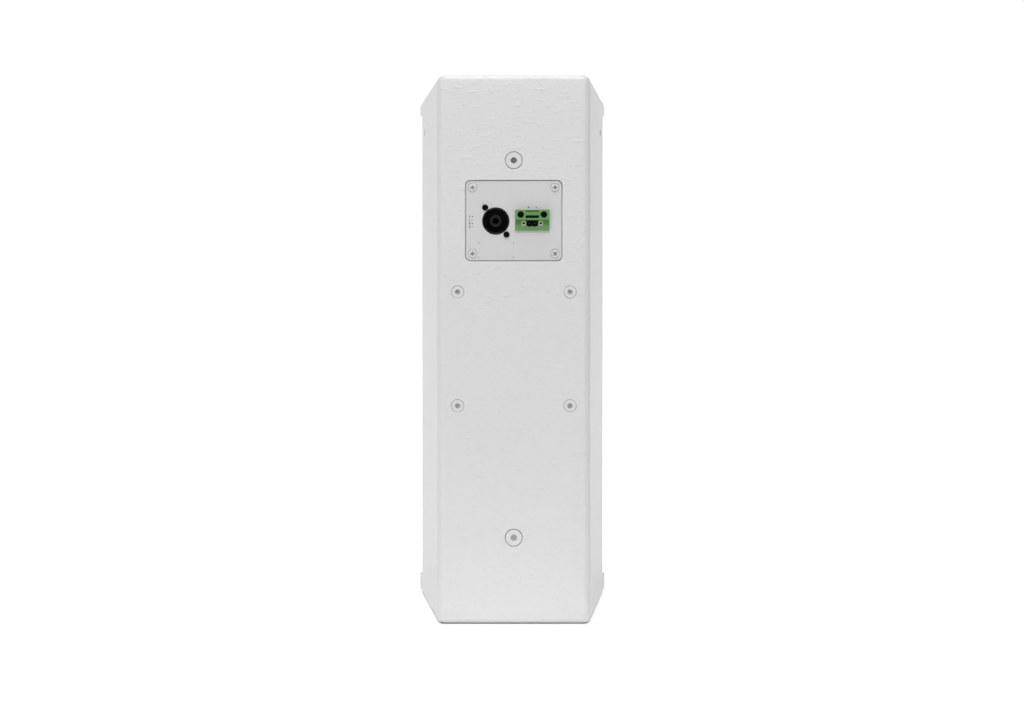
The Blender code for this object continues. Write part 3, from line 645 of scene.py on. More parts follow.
def countersink(x, z, head_r, bore_r):
    """Cutter for a countersunk hole with a paint-rounded mouth."""
    lip = 0.55
    profile = [(0.0, 3.0), (head_r + lip * (1 - math.cos(math.radians(78))), 3.0)]
    for h, grow in reversed(mouth(0.0, lip)):
        profile.append((head_r + grow, h))
    profile += [
        (head_r, -1.1),
        (bore_r, -1.1 - (head_r - bore_r)),
        (bore_r, -PANEL - 4),
        (0.0, -PANEL - 4),
    ]
    return lathe(profile, (x, Y_REAR, z), BACK, 64)


def cabinet():
    bm = bmesh.new()
    bmesh.ops.create_cube(bm, size=2.0)
    for v in bm.verts:
        y = Y_FRONT if v.co.y < 0 else Y_REAR
        v.co = Vector(
            (math.copysign(half_width(y), v.co.x), y, HEIGHT if v.co.z > 0 else 0.0)
        )
    # The upright and the side edges have the full rounding, the rear panel's top and
    # bottom edges a tighter one, and the front edges none yet.
    obj = to_object("cabinet_blank", bm)
    weight = obj.data.attributes.new("bevel_weight_edge", "FLOAT", "EDGE")
    for e in obj.data.edges:
        a, b = (obj.data.vertices[i].co / MM for i in e.vertices)
        if a.y < 0 and b.y < 0:
            continue
        level = abs(a.z - b.z) < 1 and a.y > 0 and b.y > 0
        weight.data[e.index].value = REAR_EDGE_R / EDGE_R if level else 1.0
    rounding = obj.modifiers.new("rounding", "BEVEL")
    rounding.limit_method = "WEIGHT"
    rounding.offset_type = "OFFSET"
    rounding.width = EDGE_R * MM
    rounding.segments = 10
    rounding.profile = 0.5
    settle(obj)
    bm = bmesh.new()
    bm.from_mesh(obj.data)
    bmesh.ops.scale(bm, vec=(1 / MM,) * 3, verts=bm.verts[:])
    mesh = obj.data
    bpy.data.objects.remove(obj, do_unlink=True)
    bpy.data.meshes.remove(mesh)
    # Towards its top edge the rear face falls away a little, as sanded wood does.
    falls = ((16.0, 0.0), (13.0, 0.02), (10.0, 0.08), (8.0, 0.143), (REAR_EDGE_R, 0.29))
    for down, _ in falls[:-1]:
        bmesh.ops.bisect_plane(
            bm,
            geom=bm.verts[:] + bm.edges[:] + bm.faces[:],
            plane_co=(0, 0, HEIGHT - down),
            plane_no=(0, 0, 1),
        )
    for v in bm.verts:
        down = HEIGHT - v.co.z
        if down < 15.9 and v.co.y > Y_REAR - EDGE_R:
            v.co.y -= float(np.interp(-down, [-d for d, _ in falls], [f for _, f in falls]))
    ring = [
        e
        for e in bm.edges
        if all(v.co.y < Y_FRONT + 0.01 for v in e.verts)
        and any(abs(f.normal.y) < 0.9 for f in e.link_faces)
    ]
    bmesh.ops.bevel(
        bm,
        geom=ring,
        offset=1.1,
        segments=4,
        profile=0.5,
        affect="EDGES",
        clamp_overlap=True,
    )
    obj = to_object("cabinet_shell", bm)
    inside = Y_REAR - PANEL
    low, high = BOTTOM_T, HEIGHT - TOP_T
    cutters = [
        plan_prism(
            [
                (-below_side(-130, PANEL), -130),
                (below_side(-130, PANEL), -130),
                (below_side(inside, PANEL), inside),
                (-below_side(inside, PANEL), inside),
            ],
            low,
            high,
        ),
        box((-140, -140, low), (140, SIDE_FRONT, high)),
    ]
    end = Y_FRONT + 26.0
    for s in (-1, 1):
        cutters.append(
            plan_prism(
                [
                    (s * 140, -140),
                    (s * 140, end),
                    (s * below_side(end, REBATE), end),
                    (s * below_side(SIDE_FRONT + BEND_R, REBATE), SIDE_FRONT + BEND_R),
                    (s * (below_side(SIDE_FRONT, REBATE) - BEND_R), SIDE_FRONT),
                    (s * (below_side(SIDE_FRONT, REBATE) - BEND_R), -140),
                ],
                low,
                high,
            )
        )
    for z in RIG_Z:
        cutters.append(countersink(0, z, 7.8, 5.3))
    for z in BRACKET_Z:
        for x in (-BRACKET_X, BRACKET_X):
            cutters.append(countersink(x, z, 5.7, 3.6))
    cutters.append(
        loft(
            rear_loops(
                lambda grow: round_rect(0, PLATE_Z, PLATE_W, PLATE_H, PLATE_R, grow, 8),
                [(PLATE_FACE - PLATE_T - GAP, POCKET_CLEAR)]
                + [(y, POCKET_CLEAR + g) for y, g in mouth(Y_REAR, 0.5)]
                + [(Y_REAR + 4, POCKET_CLEAR + 0.5 * (1 - math.cos(math.radians(78))))],
            )
        )
    )
    cutters.append(
        rear_prism(round_rect(0, PLATE_Z, 64, 50, 3), inside - 6, Y_REAR + 3)
    )
    for dx in (-PLATE_SCREW_X, PLATE_SCREW_X):
        for dz in (-PLATE_SCREW_Z, PLATE_SCREW_Z):
            cutters.append(
                lathe(
                    [(0, 4), (1.9, 4), (1.9, -20), (0, -20)],
                    (dx, Y_REAR, PLATE_Z + dz),
                    BACK,
                    20,
                )
            )
    for s in (-1, 1):
        out = Vector((s * math.cos(SLANT), math.sin(SLANT), 0))
        for z in GRILLE_SCREW_Z:
            at = Vector((s * half_width(-82.0), -82.0, z)) + out * 2
            cutters.append(
                lathe([(0, 0), (4.9, 0), (4.9, -6.9), (1.5, -6.9), (1.5, -15), (0, -15)], at, out, 24)
            )
    # A blind fixing hole in each side, near the top.
    for s in (-1, 1):
        out = Vector((s * math.cos(SLANT), math.sin(SLANT), 0))
        at = Vector((s * half_width(SIDE_HOLE[0]), SIDE_HOLE[0], SIDE_HOLE[1]))
        cutters.append(
            lathe([(0, 3), (4.7, 3), (4.7, 0.05), (4.45, -0.25), (4.45, -4.5), (3.3, -5.2), (3.3, -9.0), (0, -9.8)], at, out, 40)
        )
    cut(obj, cutters)
    # Soften the lips' inner edges, which the cuts left sharp.
    bm = bmesh.new()
    bm.from_mesh(obj.data)
    lips = []
    for e in bm.edges:
        a, b = (v.co / MM for v in e.verts)
        if not (
            (abs(a.z - low) < 0.01 and abs(b.z - low) < 0.01)
            or (abs(a.z - high) < 0.01 and abs(b.z - high) < 0.01)
        ):
            continue
        on_front = a.y < Y_FRONT + 0.01 and b.y < Y_FRONT + 0.01
        on_side = all(
            abs(abs(p.x) - half_width(p.y)) < 0.02 and p.y < end + 0.01 for p in (a, b)
        )
        if on_front or on_side:
            lips.append(e)
    bmesh.ops.bevel(
        bm,
        geom=lips,
        offset=0.7 * MM,
        segments=3,
        profile=0.5,
        affect="EDGES",
        clamp_overlap=True,
    )
    bmesh.ops.recalc_face_normals(bm, faces=bm.faces[:])
    bm.to_mesh(obj.data)
    bm.free()
    shade(obj, 32, True)
    wear(obj, PAINT, PLY, SOCKET_STEEL)
    paint_faces(
        obj,
        1,
        lambda c, n: abs(c.x) < below_side(c.y, PANEL - 0.05)
        and low - 0.05 < c.z < high + 0.05
        and SIDE_FRONT + 0.2 < c.y < Y_REAR - 3.6
        or (abs(c.x) < 31.9 and abs(c.z - PLATE_Z) < 24.9 and c.y < Y_REAR - 3.2),
    )
    # The -X side hole is lined with dark steel as painted shade; the +X hole keeps the white paint.
    paint_faces(
        obj,
        2,
        lambda c, n: math.hypot(c.y - SIDE_HOLE[0], c.z - SIDE_HOLE[1]) < 5.2
        and below_side(c.y, 10.2) < -c.x < below_side(c.y, 0.3),
    )
    piece(
        obj,
        "white_painted_wood",
        "top_panel",
        "bottom_panel",
        "left_side_panel",
        "right_side_panel",
        "rear_panel",
    )


cabinet()


# ------------------------------------------------------------------ grille
def zipper(outer, inner):
    """Triangles between two loops that go round the same middle, as index pairs
    (loop, index). Both hold angles that rise."""
    tris, i, j = [], 0, 0
    n, m = len(outer), len(inner)

    def angle(loop, k):
        return loop[k % len(loop)] + 2 * math.pi * (k // len(loop))

    while i < n or j < m:
        step_outer = j >= m or (i < n and angle(outer, i + 1) <= angle(inner, j + 1))
        if step_outer:
            tris.append(((0, i % n), (0, (i + 1) % n), (1, j % m)))
            i += 1
        else:
            tris.append(((0, i % n), (1, (j + 1) % m), (1, j % m)))
            j += 1
    return tris


def ring_fill(bm, outer, inner, centre, u, v):
    """Fill the ring between a loop of vertices and a loop inside it."""

    def sorted_loop(loop):
        rows = []
        for vert in loop:
            d = vert.co - centre
            rows.append((math.atan2(d.dot(v), d.dot(u)) % (2 * math.pi), vert))
        rows.sort(key=lambda r: r[0])
        return [r[0] for r in rows], [r[1] for r in rows]

    (oa, ov), (ia, iv) = sorted_loop(outer), sorted_loop(inner)
    pick = (ov, iv)
    for tri in zipper(oa, ia):
        bm.faces.new([pick[a][b] for a, b in tri])


def grille():
    """A folded steel sheet with rows of round holes, modelled hole by hole."""
    pitch, hole_r = 6.0, 2.05
    row_h = pitch * math.sqrt(3) / 2
    rows, half_cols = 84, 54
    y_mid = Y_FRONT + GRILLE_BACK + GRILLE_T / 2
    z0, z1 = BOTTOM_T + 0.5, HEIGHT - TOP_T - 0.5
    start = (z0 + z1) / 2 - rows * row_h / 2
    lines = [z0] + [start + row_h * j for j in range(rows + 1)] + [z1]
    mid = FLANGE_IN + GRILLE_T / 2
    y_end = Y_FRONT + FLANGE_DEPTH
    corner = Vector((below_side(y_mid, mid), y_mid))
    along = (Vector((below_side(y_end, mid), y_end)) - corner).normalized()
    turn = math.acos(along.dot(Vector((-1, 0))))
    reach = BEND_R / math.tan(turn / 2)
    first, last = corner + along * reach, corner + Vector((-1, 0)) * reach
    centre = first + Vector((-along.y, along.x)) * BEND_R
    a0 = math.atan2(first.y - centre.y, first.x - centre.x)
    a1 = math.atan2(last.y - centre.y, last.x - centre.x)
    fold = [
        (centre.x + BEND_R * math.cos(a), centre.y + BEND_R * math.sin(a))
        for a in [a1 + (a0 - a1) * i / 8 for i in range(9)]
    ]
    flange = [(below_side(y, mid), y) for y in (-87.6, -76.4, y_end)]
    side = fold + flange
    bm = bmesh.new()
    x_of = [-81.0 + 3.0 * k for k in range(half_cols + 1)]
    grid = []
    for z in lines:
        row = [bm.verts.new((-x, y, z)) for x, y in reversed(side)]
        row += [bm.verts.new((x, y_mid, z)) for x in x_of]
        row += [bm.verts.new((x, y, z)) for x, y in side]
        grid.append(row)
    n = len(side)
    width = len(grid[0])
    # Each dimpled screw hole in a flange takes a block of three rows.
    blocks = {}
    for jz in (1, rows - 2):
        for left in (True, False):
            blocks[(jz, 1 if left else width - 3)] = left
    skip = {(j + d, c) for (j, c) in blocks for d in (0, 1, 2)}
    u, v = Vector((1, 0, 0)), Vector((0, 0, 1))
    for j in range(len(lines) - 1):
        a, b = grid[j], grid[j + 1]
        perforated = 1 <= j <= rows
        k = 0
        while k < width - 1:
            c = k - n
            if (j, k) in skip:
                k += 1
                continue
            if perforated and 0 <= c < half_cols:
                odd = j % 2 == 0
                if odd and c in (0, half_cols - 1):
                    bm.faces.new((a[k], a[k + 1], b[k + 1], b[k]))
                    k += 1
                    continue
                at = Vector((a[k + 1].co.x, y_mid, (lines[j] + lines[j + 1]) / 2))
                hole = [
                    bm.verts.new(
                        at
                        + hole_r
                        * (
                            u * math.cos(math.radians(30 * i))
                            + v * math.sin(math.radians(30 * i))
                        )
                    )
                    for i in range(12)
                ]
                ring_fill(bm, a[k : k + 3] + b[k : k + 3], hole, at, u, v)
                k += 2
                continue
            bm.faces.new((a[k], a[k + 1], b[k + 1], b[k]))
            k += 1
    for (j, c), left in blocks.items():
        s = -1 if left else 1
        z = GRILLE_SCREW_Z[0] if j == 1 else GRILLE_SCREW_Z[1]
        at = Vector((s * below_side(-82.0, mid), -82.0, z))
        out = Vector((s * math.cos(SLANT), math.sin(SLANT), 0))
        uu, vv = Vector((0, 0, 1)).cross(out), Vector((0, 0, 1))
        rings = [
            [
                bm.verts.new(at - out * deep + r * (uu * math.cos(t) + vv * math.sin(t)))
                for t in [2 * math.pi * i / 24 for i in range(24)]
            ]
            for r, deep in ((4.0, 0.0), (3.8, 0.12), (3.0, 1.0), (2.8, 1.15), (1.75, 1.2))
        ]
        outer = [grid[j + d][c + e] for d in (0, 1, 2, 3) for e in (0, 1)]
        ring_fill(bm, outer, rings[0], at, uu, vv)
        for a, b in zip(rings, rings[1:]):
            for i in range(24):
                k = (i + 1) % 24
                bm.faces.new((a[i], a[k], b[k], b[i]))
    obj = to_object("grille_perforated", bm)
    sheet = obj.modifiers.new("sheet", "SOLIDIFY")
    sheet.thickness = GRILLE_T * MM
    sheet.offset = 0.0
    sheet.use_even_offset = True
    settle(obj)
    shade(obj, 40)
    wear(obj, POWDER)
    piece(obj, "white_painted_steel", "front_grille")


grille()


def foam():
    """Acoustic foam behind the grille, with a soft uneven face."""
    y0 = SIDE_FRONT
    y1 = y0 + 5.0
    nx, nz = 54, 156
    bm = bmesh.new()
    faces = []
    for y, lift in ((y0 + 0.45, -0.4), (y1 - 0.2, 0.15)):
        sheet = []
        for j in range(nz + 1):
            row = []
            for i in range(nx + 1):
                x = -78.2 + 156.4 * i / nx
                z = BOTTOM_T + 0.8 + (HEIGHT - BOTTOM_T - TOP_T - 1.6) * j / nz
                bump = noise.noise(Vector((x * 0.09, y, z * 0.09))) * 0.5
                bump += noise.noise(Vector((x * 0.31, y + 9, z * 0.31))) * 0.5
                row.append(bm.verts.new((x, y + lift * abs(bump) * 2 * 0.9, z)))
            sheet.append(row)
        for j in range(nz):
            for i in range(nx):
                bm.faces.new(
                    (sheet[j][i], sheet[j][i + 1], sheet[j + 1][i + 1], sheet[j + 1][i])
                )
        faces.append(sheet)
    front, back = faces

    def rim(s):
        edge = [s[0][i] for i in range(nx)] + [s[j][nx] for j in range(nz)]
        edge += [s[nz][i] for i in range(nx, 0, -1)] + [s[j][0] for j in range(nz, 0, -1)]
        return edge

    a, b = rim(front), rim(back)
    for i in range(len(a)):
        j = (i + 1) % len(a)
        bm.faces.new((a[i], a[j], b[j], b[i]))
    obj = to_object("foam_sheet", bm, 60)
    wear(obj, FOAM)
    piece(obj, "acoustic_foam", "grille_foam")


foam()


# ------------------------------------------------------------------ fasteners
def hexagon(x, z, face, flats, depth):
    """Cutter for a hexagon socket with a turned lead-in and a drill-point floor."""
    r = flats / math.sqrt(3)
    loops = []
    for y, k in ((face + 1.0, 1.0), (face - depth, 1.0)):
        loops.append(
            [
                Vector(
                    (
                        x + r * k * math.cos(math.pi / 3 * i + 0.2),
                        y,
                        z + r * k * math.sin(math.pi / 3 * i + 0.2),
                    )
                )
                for i in range(6)
            ]
        )
    prism = loft(loops)
    lead = lathe(
        [(0, 0.6), (r * 1.03, 0.6), (r * 1.03, 0.0), (flats / 2 * 0.98, -0.32), (0, -0.32)],
        (x, face, z),
        BACK,
        36,
    )
    point = lathe(
        [(0, 0.3), (flats / 2 * 0.9, 0.3), (flats / 2 * 0.9, 0.0), (0, -flats * 0.22)],
        (x, face - depth, z),
        BACK,
        36,
    )
    return [prism, lead, point]


def thread(profile_r, top, bottom, pitch):
    """Rolled-thread ridges as rings along a shank."""
    points, h = [], top
    while h - pitch > bottom:
        points += [(profile_r - 0.35, h), (profile_r, h - pitch * 0.5)]
        h -= pitch
    return points


def hex_screw(name, x, z, head_r, shank_r, length, flats, depth, pitch, node, lift=0.0):
    cone, face = head_r - shank_r, FASTENER_FACE + lift
    profile = soften(
        [
            (0.0, 0.0),
            (head_r, 0.0, 0.42),
            (head_r, -0.75, 0.12),
            (shank_r, -0.75 - cone + 0.35),
            (shank_r, -1.6 - cone),
        ],
        5,
    )
    profile += thread(shank_r, -1.8 - cone, -length + 1.2, pitch)
    profile += [(shank_r - 0.35, -length + 1.0), (shank_r - 1.0, -length), (0.0, -length)]
    obj = to_object(name, lathe(profile, (x, face, z), BACK, 64))
    cut(obj, hexagon(x, z, face, flats, depth))
    shade(obj, 30, True)
    wear(obj, SCREW_WHITE, SOCKET_GREY, ZINC)
    inner = flats / math.sqrt(3) * 1.05

    def at(c):
        return math.hypot(c.x - x, c.z - z)

    # The socket's walls and floor are a mid grey, darker than the head's white paint: in part painted shade in the
    # recess.
    paint_faces(obj, 1, lambda c, n: at(c) < inner and face - depth - 3 < c.y < face - 0.01)
    paint_faces(obj, 2, lambda c, n: c.y < face - 1.2 - cone)
    piece(obj, "white_painted_steel", node)


for where, z, depth in zip(("bottom", "top"), RIG_Z, (1.3, 4.0)):
    hex_screw(f"rigging_bolt_{where}", 0, z, 7.2, 4.0, 24.0, 5.0, depth, 1.25, f"rigging_screw_{where}", 0.55)
number = 0
for z in BRACKET_Z:
    for x in (-BRACKET_X, BRACKET_X):
        number += 1
        hex_screw(f"bracket_bolt_{number}", x, z, 5.4, 3.0, 20.0, 4.0, 1.4, 1.0, f"bracket_screw_{number}")


def cross_screw(name, seat, axis, head_r, head_h, shank_r, length, turn, looks, slot, node, pitch=0.8, flat=0.3, slim=0.15):
    """A pan-head screw with a cross recess, turned by an angle about its axis."""
    seat = Vector(seat)
    axis, u, v = axes_for(axis)
    u, v = (
        u * math.cos(turn) + v * math.sin(turn),
        v * math.cos(turn) - u * math.sin(turn),
    )
    crown = []
    for i in range(8):
        t = i / 7
        r = head_r * (flat + (1 - flat) * math.sin(t * math.pi / 2))
        crown.append((r, head_h * (0.42 + 0.58 * math.cos(t * math.pi / 2) ** 0.8)))
    profile = [(0.0, head_h)] + crown
    profile += [(head_r, 0.12), (head_r - 0.12, 0.0), (shank_r, 0.0), (shank_r, -0.8)]
    profile += thread(shank_r, -1.0, -length + 0.8, pitch)
    profile += [(shank_r * 0.6, -length + 0.4), (0.0, -length)]
    obj = to_object(name, lathe(profile, seat, axis, 48))
    depth = head_h * 0.85
    arm, half = head_r * 0.68, head_r * slim
    loops = []
    for h, reach, wide in (
        (head_h + 0.6, arm * 1.25, half * 1.2),
        (head_h - depth * 0.6, arm * 0.72, half * 0.95),
        (head_h - depth, arm * 0.42, half * 0.8),
    ):
        loops.append(
            [
                seat + axis * h + u * p + v * q
                for p, q in (
                    (reach, -wide), (reach, wide), (wide, wide), (wide, reach),
                    (-wide, reach), (-wide, wide), (-reach, wide), (-reach, -wide),
                    (-wide, -wide), (-wide, -reach), (wide, -reach), (wide, -wide),
                )
            ]
        )
    cutters = [loft(loops)]
    cut(obj, cutters)
    shade(obj, 32, True)
    wear(obj, *looks)
    # A second look colours the recess faces; the plate screws' darker grey there is painted shade.
    if len(looks) > 1:
        reach = head_r * 0.80

        def recessed(c, n):
            d = c - seat
            side = d - axis * d.dot(axis)
            deep = n.dot(axis) < 0.35 or d.dot(axis) < head_h * 0.45
            return side.length < reach and deep and d.dot(axis) > -0.5

        paint_faces(obj, 1, recessed)
    piece(obj, slot, node)


number = 0
TURNS = {1: 0.80, 2: 0.10, 3: 0.14, 4: 0.04}
# The plate screws' cross recesses take the darker grey as painted shade.
for dz in (-PLATE_SCREW_Z, PLATE_SCREW_Z):
    for x in (-PLATE_SCREW_X, PLATE_SCREW_X):
        number += 1
        cross_screw(
            f"plate_fixing_{number}",
            (x, PLATE_FACE - 0.66, PLATE_Z + dz),
            BACK,
            3.6,
            1.55,
            1.5,
            10.5,
            TURNS[number],
            (PLATE_SCREW, CROSS_SHADE_GREY),
            "grey_painted_metal",
            f"plate_screw_{number}",
            slim=0.15,
        )
for number, s in enumerate((1, -1), 1):
    cross_screw(
        f"socket_fixing_{number}",
        (SOCKET_X + s * SOCKET_SCREW[0], PLATE_FACE + 0.05, SOCKET_Z + s * SOCKET_SCREW[1]),
        BACK,
        2.75,
        1.5,
        1.4,
        8.0,
        0.35 * number,
        (BLACKENED,),
        "black_steel",
        f"socket_screw_{number}",
        0.5,
    )
    cross_screw(
        f"header_fixing_{number}",
        (HEADER_X + s * 10.25, HEADER_TOP - 2.5 + 0.05, HEADER_SCREW_Z),
        BACK,
        2.6,
        1.5,
        1.4,
        11.0,
        0.5 * number,
        (BLACKENED,),
        "black_steel",
        f"header_screw_{number}",
        0.5,
    )
number = 0
for s in (-1, 1):
    out = Vector((s * math.cos(SLANT), math.sin(SLANT), 0))
    for z in GRILLE_SCREW_Z:
        number += 1
        cross_screw(
            f"grille_fixing_{number}",
            Vector((s * half_width(-82.0), -82.0, z)) - out * (FLANGE_IN + 1.17),
            out,
            2.5,
            1.3,
            1.2,
            9.0,
            0.4 * number,
            (SCREW_WHITE, SOCKET_STEEL),
            "white_painted_steel",
            f"grille_screw_{number}",
            0.7,
        )


# ------------------------------------------------------------------ terminal plate
def lobed(grow=0.0):
    """Pin cavity outline of the header: straight top, two shallow lobes below."""
    left, right = HEADER_X - 5.15 - grow, HEADER_X + 5.15 + grow
    top, shoulder, cusp = 358.8 + grow, 354.7 - grow, 354.0 - grow * 0.6
    lobe = (right - left) / 4
    points = [(right, top), (left, top), (left, shoulder)]
    for middle, begin, stop in (
        (left + lobe, shoulder, cusp),
        (right - lobe, cusp, shoulder),
    ):
        for i in range(1, 16):
            a = math.pi + math.pi * i / 16
            level = begin + (stop - begin) * i / 16
            points.append((middle + lobe * math.cos(a), level + 1.25 * math.sin(a)))
        if stop == cusp:
            points.append((HEADER_X, cusp))
    points.append((right, shoulder))
    return points


def round_hole(x, z, r, face, lip=0.15, depth=30.0, sides=48):
    """Cutter for a straight hole with a lightly rounded mouth."""
    profile = [(0.0, 3.0), (r + lip * (1 - math.cos(math.radians(78))), 3.0)]
    for h, grow in reversed(mouth(0.0, lip, 3)):
        profile.append((r + grow, h))
    profile += [(r, -depth), (0.0, -depth)]
    return lathe(profile, (x, face, z), BACK, sides)


def plate():
    edge = 0.35
    levels = [(PLATE_FACE - PLATE_T, 0.0), (PLATE_FACE - edge, 0.0)]
    for i in range(1, 5):
        a = math.pi / 2 * i / 4
        levels.append(
            (PLATE_FACE - edge + edge * math.sin(a), -edge + edge * math.cos(a))
        )
    obj = to_object(
        "terminal_panel",
        loft(
            rear_loops(
                lambda g: round_rect(0, PLATE_Z, PLATE_W, PLATE_H, PLATE_R, g, 10),
                levels,
            )
        ),
    )
    cutters = [round_hole(SOCKET_X, SOCKET_Z, 12.15, PLATE_FACE, 0.15, 12, 96)]
    cutters.append(
        rear_prism(
            round_rect(HEADER_X, 355.6, 22.0, 10.6, 0.8), PLATE_FACE - 6, PLATE_FACE + 3
        )
    )
    for dx in (-PLATE_SCREW_X, PLATE_SCREW_X):
        for dz in (-PLATE_SCREW_Z, PLATE_SCREW_Z):
            cutters.append(round_hole(dx, PLATE_Z + dz, 4.1, PLATE_FACE, 0.12, 0.7, 48))
            cutters.append(round_hole(dx, PLATE_Z + dz, 2.0, PLATE_FACE - 0.7, 0.1, 12, 24))
    for s in (1, -1):
        cutters.append(
            round_hole(SOCKET_X + s * SOCKET_SCREW[0], SOCKET_Z + s * SOCKET_SCREW[1], 1.7, PLATE_FACE, 0.1, 12, 24)
        )
        cutters.append(round_hole(HEADER_X + s * 10.25, HEADER_SCREW_Z, 1.7, PLATE_FACE, 0.1, 12, 24))
    cut(obj, cutters)
    shade(obj, 32, True)
    wear(obj, PLATE_GREY)
    piece(obj, "grey_painted_metal", "terminal_plate")


plate()


def marks():
    """Small printed signs: terminal numbers, polarity and the ticks of a label field."""

    def plus(x, z, w, t):
        w, t = w / 2, t / 2
        return [
            (x + p, z + q)
            for p, q in (
                (w, -t), (w, t), (t, t), (t, w), (-t, w), (-t, t),
                (-w, t), (-w, -t), (-t, -t), (-t, -w), (t, -w), (t, -t),
            )
        ]

    def minus(x, z, w, t):
        w, t = w / 2, t / 2
        return [(x + w, z - t), (x + w, z + t), (x - w, z + t), (x - w, z - t)]

    # Seen from behind, a sign's left side lies at +X.
    def one(x, z, h, t):
        h, t = h / 2, t / 2
        return [(x - p, z + q) for p, q in ((-t, -h), (t, -h), (t, h), (-t, h), (-t * 3.4, h - t * 2.6), (-t * 3.4, h - t * 4.8), (-t, h - t * 3))]

    def two(x, z, h, t):
        w, h = h * 0.27, h / 2
        m = t / 2
        return [
            (x - p, z + q)
            for p, q in (
                (-w, h), (w, h), (w, -m), (-w + t, -m), (-w + t, -h + t), (w, -h + t),
                (w, -h), (-w, -h), (-w, m), (w - t, m), (w - t, h - t), (-w, h - t),
            )
        ]

    shapes = []
    for i, (digit, sign) in enumerate(((one, plus), (one, minus), (two, plus), (two, minus))):
        z = 362.0 - 3.0 * i
        shapes += [digit(39.3, z, 2.0, 0.36), sign(36.9, z, 1.4, 0.36)]
    shapes += [plus(-13.2, 370.3, 1.7, 0.42), minus(-19.9, 370.3, 1.5, 0.42)]
    for x in (31.0, 0.6):
        for z in (338.9, 325.6):
            a, b, t = (1 if x > 10 else -1), (1 if z > 332 else -1), 0.24
            shapes.append(
                [(x + a * p, z - b * q) for p, q in ((0.55, -0.12), (-0.55, -0.12), (-0.55, t - 0.12), (0.55 - t, t - 0.12), (0.55 - t, 0.95), (0.55, 0.95))]
            )
    bm = merge(*[rear_prism(shape, PLATE_FACE - 0.005, PLATE_FACE + 0.025) for shape in shapes])
    bmesh.ops.recalc_face_normals(bm, faces=bm.faces[:])
    obj = to_object("plate_marks", bm)
    wear(obj, INK)
    piece(obj, "black_plastic")


marks()


# ------------------------------------------------------------------ speaker socket
def socket():
    at = (SOCKET_X, PLATE_FACE, SOCKET_Z)
    shell = to_object(
        "socket_sleeve",
        lathe(
            soften(
                [
                    (11.8, 0.55, 0.45),
                    (11.8, -18.0, 0.3),
                    (10.0, -18.0, 0.2),
                    (10.0, -1.5, 0.3),
                    (10.75, -0.55, 0.25),
                    (10.75, 0.55, 0.35),
                ],
                5,
                True,
            ),
            at,
            BACK,
            96,
            True,
        ),
    )
    flange_back = PLATE_FACE - PLATE_T - GAP
    flange = loft(
        rear_loops(
            lambda g: round_rect(SOCKET_X, SOCKET_Z, 26, 31, 3.5, g, 6),
            [
                (flange_back - 2.5, -0.3),
                (flange_back - 2.2, 0.0),
                (flange_back - 0.2, 0.0),
                (flange_back, -0.2),
            ],
        )
    )
    ear = to_object("socket_ear", flange)
    cut(ear, [lathe([(0, 4), (10.9, 4), (10.9, -4), (0, -4)], (SOCKET_X, flange_back - 1, SOCKET_Z), BACK, 96)])
    joined = bmesh.new()
    joined.from_mesh(ear.data)
    bmesh.ops.scale(joined, vec=(1 / MM,) * 3, verts=joined.verts[:])
    mesh = ear.data
    bpy.data.objects.remove(ear, do_unlink=True)
    bpy.data.meshes.remove(mesh)
    cut(shell, [joined], "UNION")
    cutters = []
    for i, wide in enumerate((3.4, 2.2, 3.4, 2.2)):
        a = math.radians(45 + 90 * i)
        mid = Vector((SOCKET_X + 9.9 * math.cos(a), 0, SOCKET_Z + 9.9 * math.sin(a)))
        cutters.append(
            lathe(
                [(0, 2), (wide / 2, 2), (wide / 2, -13), (0, -13)],
                (mid.x, PLATE_FACE - 1.2, mid.z),
                BACK,
                28,
            )
        )
    for s in (1, -1):
        cutters.append(
            lathe(
                [(0, 6), (1.7, 6), (1.7, -8), (0, -8)],
                (SOCKET_X + s * SOCKET_SCREW[0], flange_back, SOCKET_Z + s * SOCKET_SCREW[1]),
                BACK,
                24,
            )
        )
    cut(shell, cutters)
    shade(shell, 30, True)
    wear(shell, BLACK)
    piece(shell, "black_plastic", "speaker_socket_shell")

    core = to_object(
        "socket_contact_core",
        lathe(
            soften(
                [
                    (3.0, -1.6, 0.3),
                    (5.4, -1.6, 0.6),
                    (5.4, -18.3, 0.1),
                    (11.8, -18.3, 0.3),
                    (11.8, -21.0, 0.4),
                    (2.7, -21.0, 0.2),
                    (2.7, -4.0, 0.2),
                ],
                4,
                True,
            ),
            at,
            BACK,
            72,
            True,
        ),
    )
    cutters = []
    for i in range(4):
        a = math.radians(90 * i + 20)
        u = Vector((math.cos(a), 0, math.sin(a)))
        v = Vector((-math.sin(a), 0, math.cos(a)))
        centre = Vector(at) + u * 5.2
        loops = []
        for h in (-3.2, -15.0):
            loops.append(
                [
                    centre + BACK * h + u * (su * 0.9) + v * (sv * 1.3)
                    for su, sv in ((1, 1), (-1, 1), (-1, -1), (1, -1))
                ]
            )
        cutters.append(loft(loops))
    cut(core, cutters)
    shade(core, 30, True)
    wear(core, BLACK_CORE)
    piece(core, "black_plastic", "speaker_socket_core")

    strips = None
    for i in range(4):
        a = math.radians(90 * i + 20)
        u = Vector((math.cos(a), 0, math.sin(a)))
        v = Vector((-math.sin(a), 0, math.cos(a)))
        centre = Vector(at) + u * 4.75
        loops = []
        for h, lift in ((-3.5, -0.15), (-4.4, 0.25), (-9.0, 0.42), (-13.6, 0.25), (-14.7, -0.15)):
            loops.append(
                [
                    centre + BACK * h + u * (lift + su * 0.22) + v * (sv * 1.0)
                    for su, sv in ((1, 1), (-1, 1), (-1, -1), (1, -1))
                ]
            )
        strip = loft(loops)
        strips = strip if strips is None else merge(strips, strip)
    contacts = to_object("socket_contact_strips", strips, 25)
    wear(contacts, BRASS)
    piece(contacts, "plated_steel")


socket()


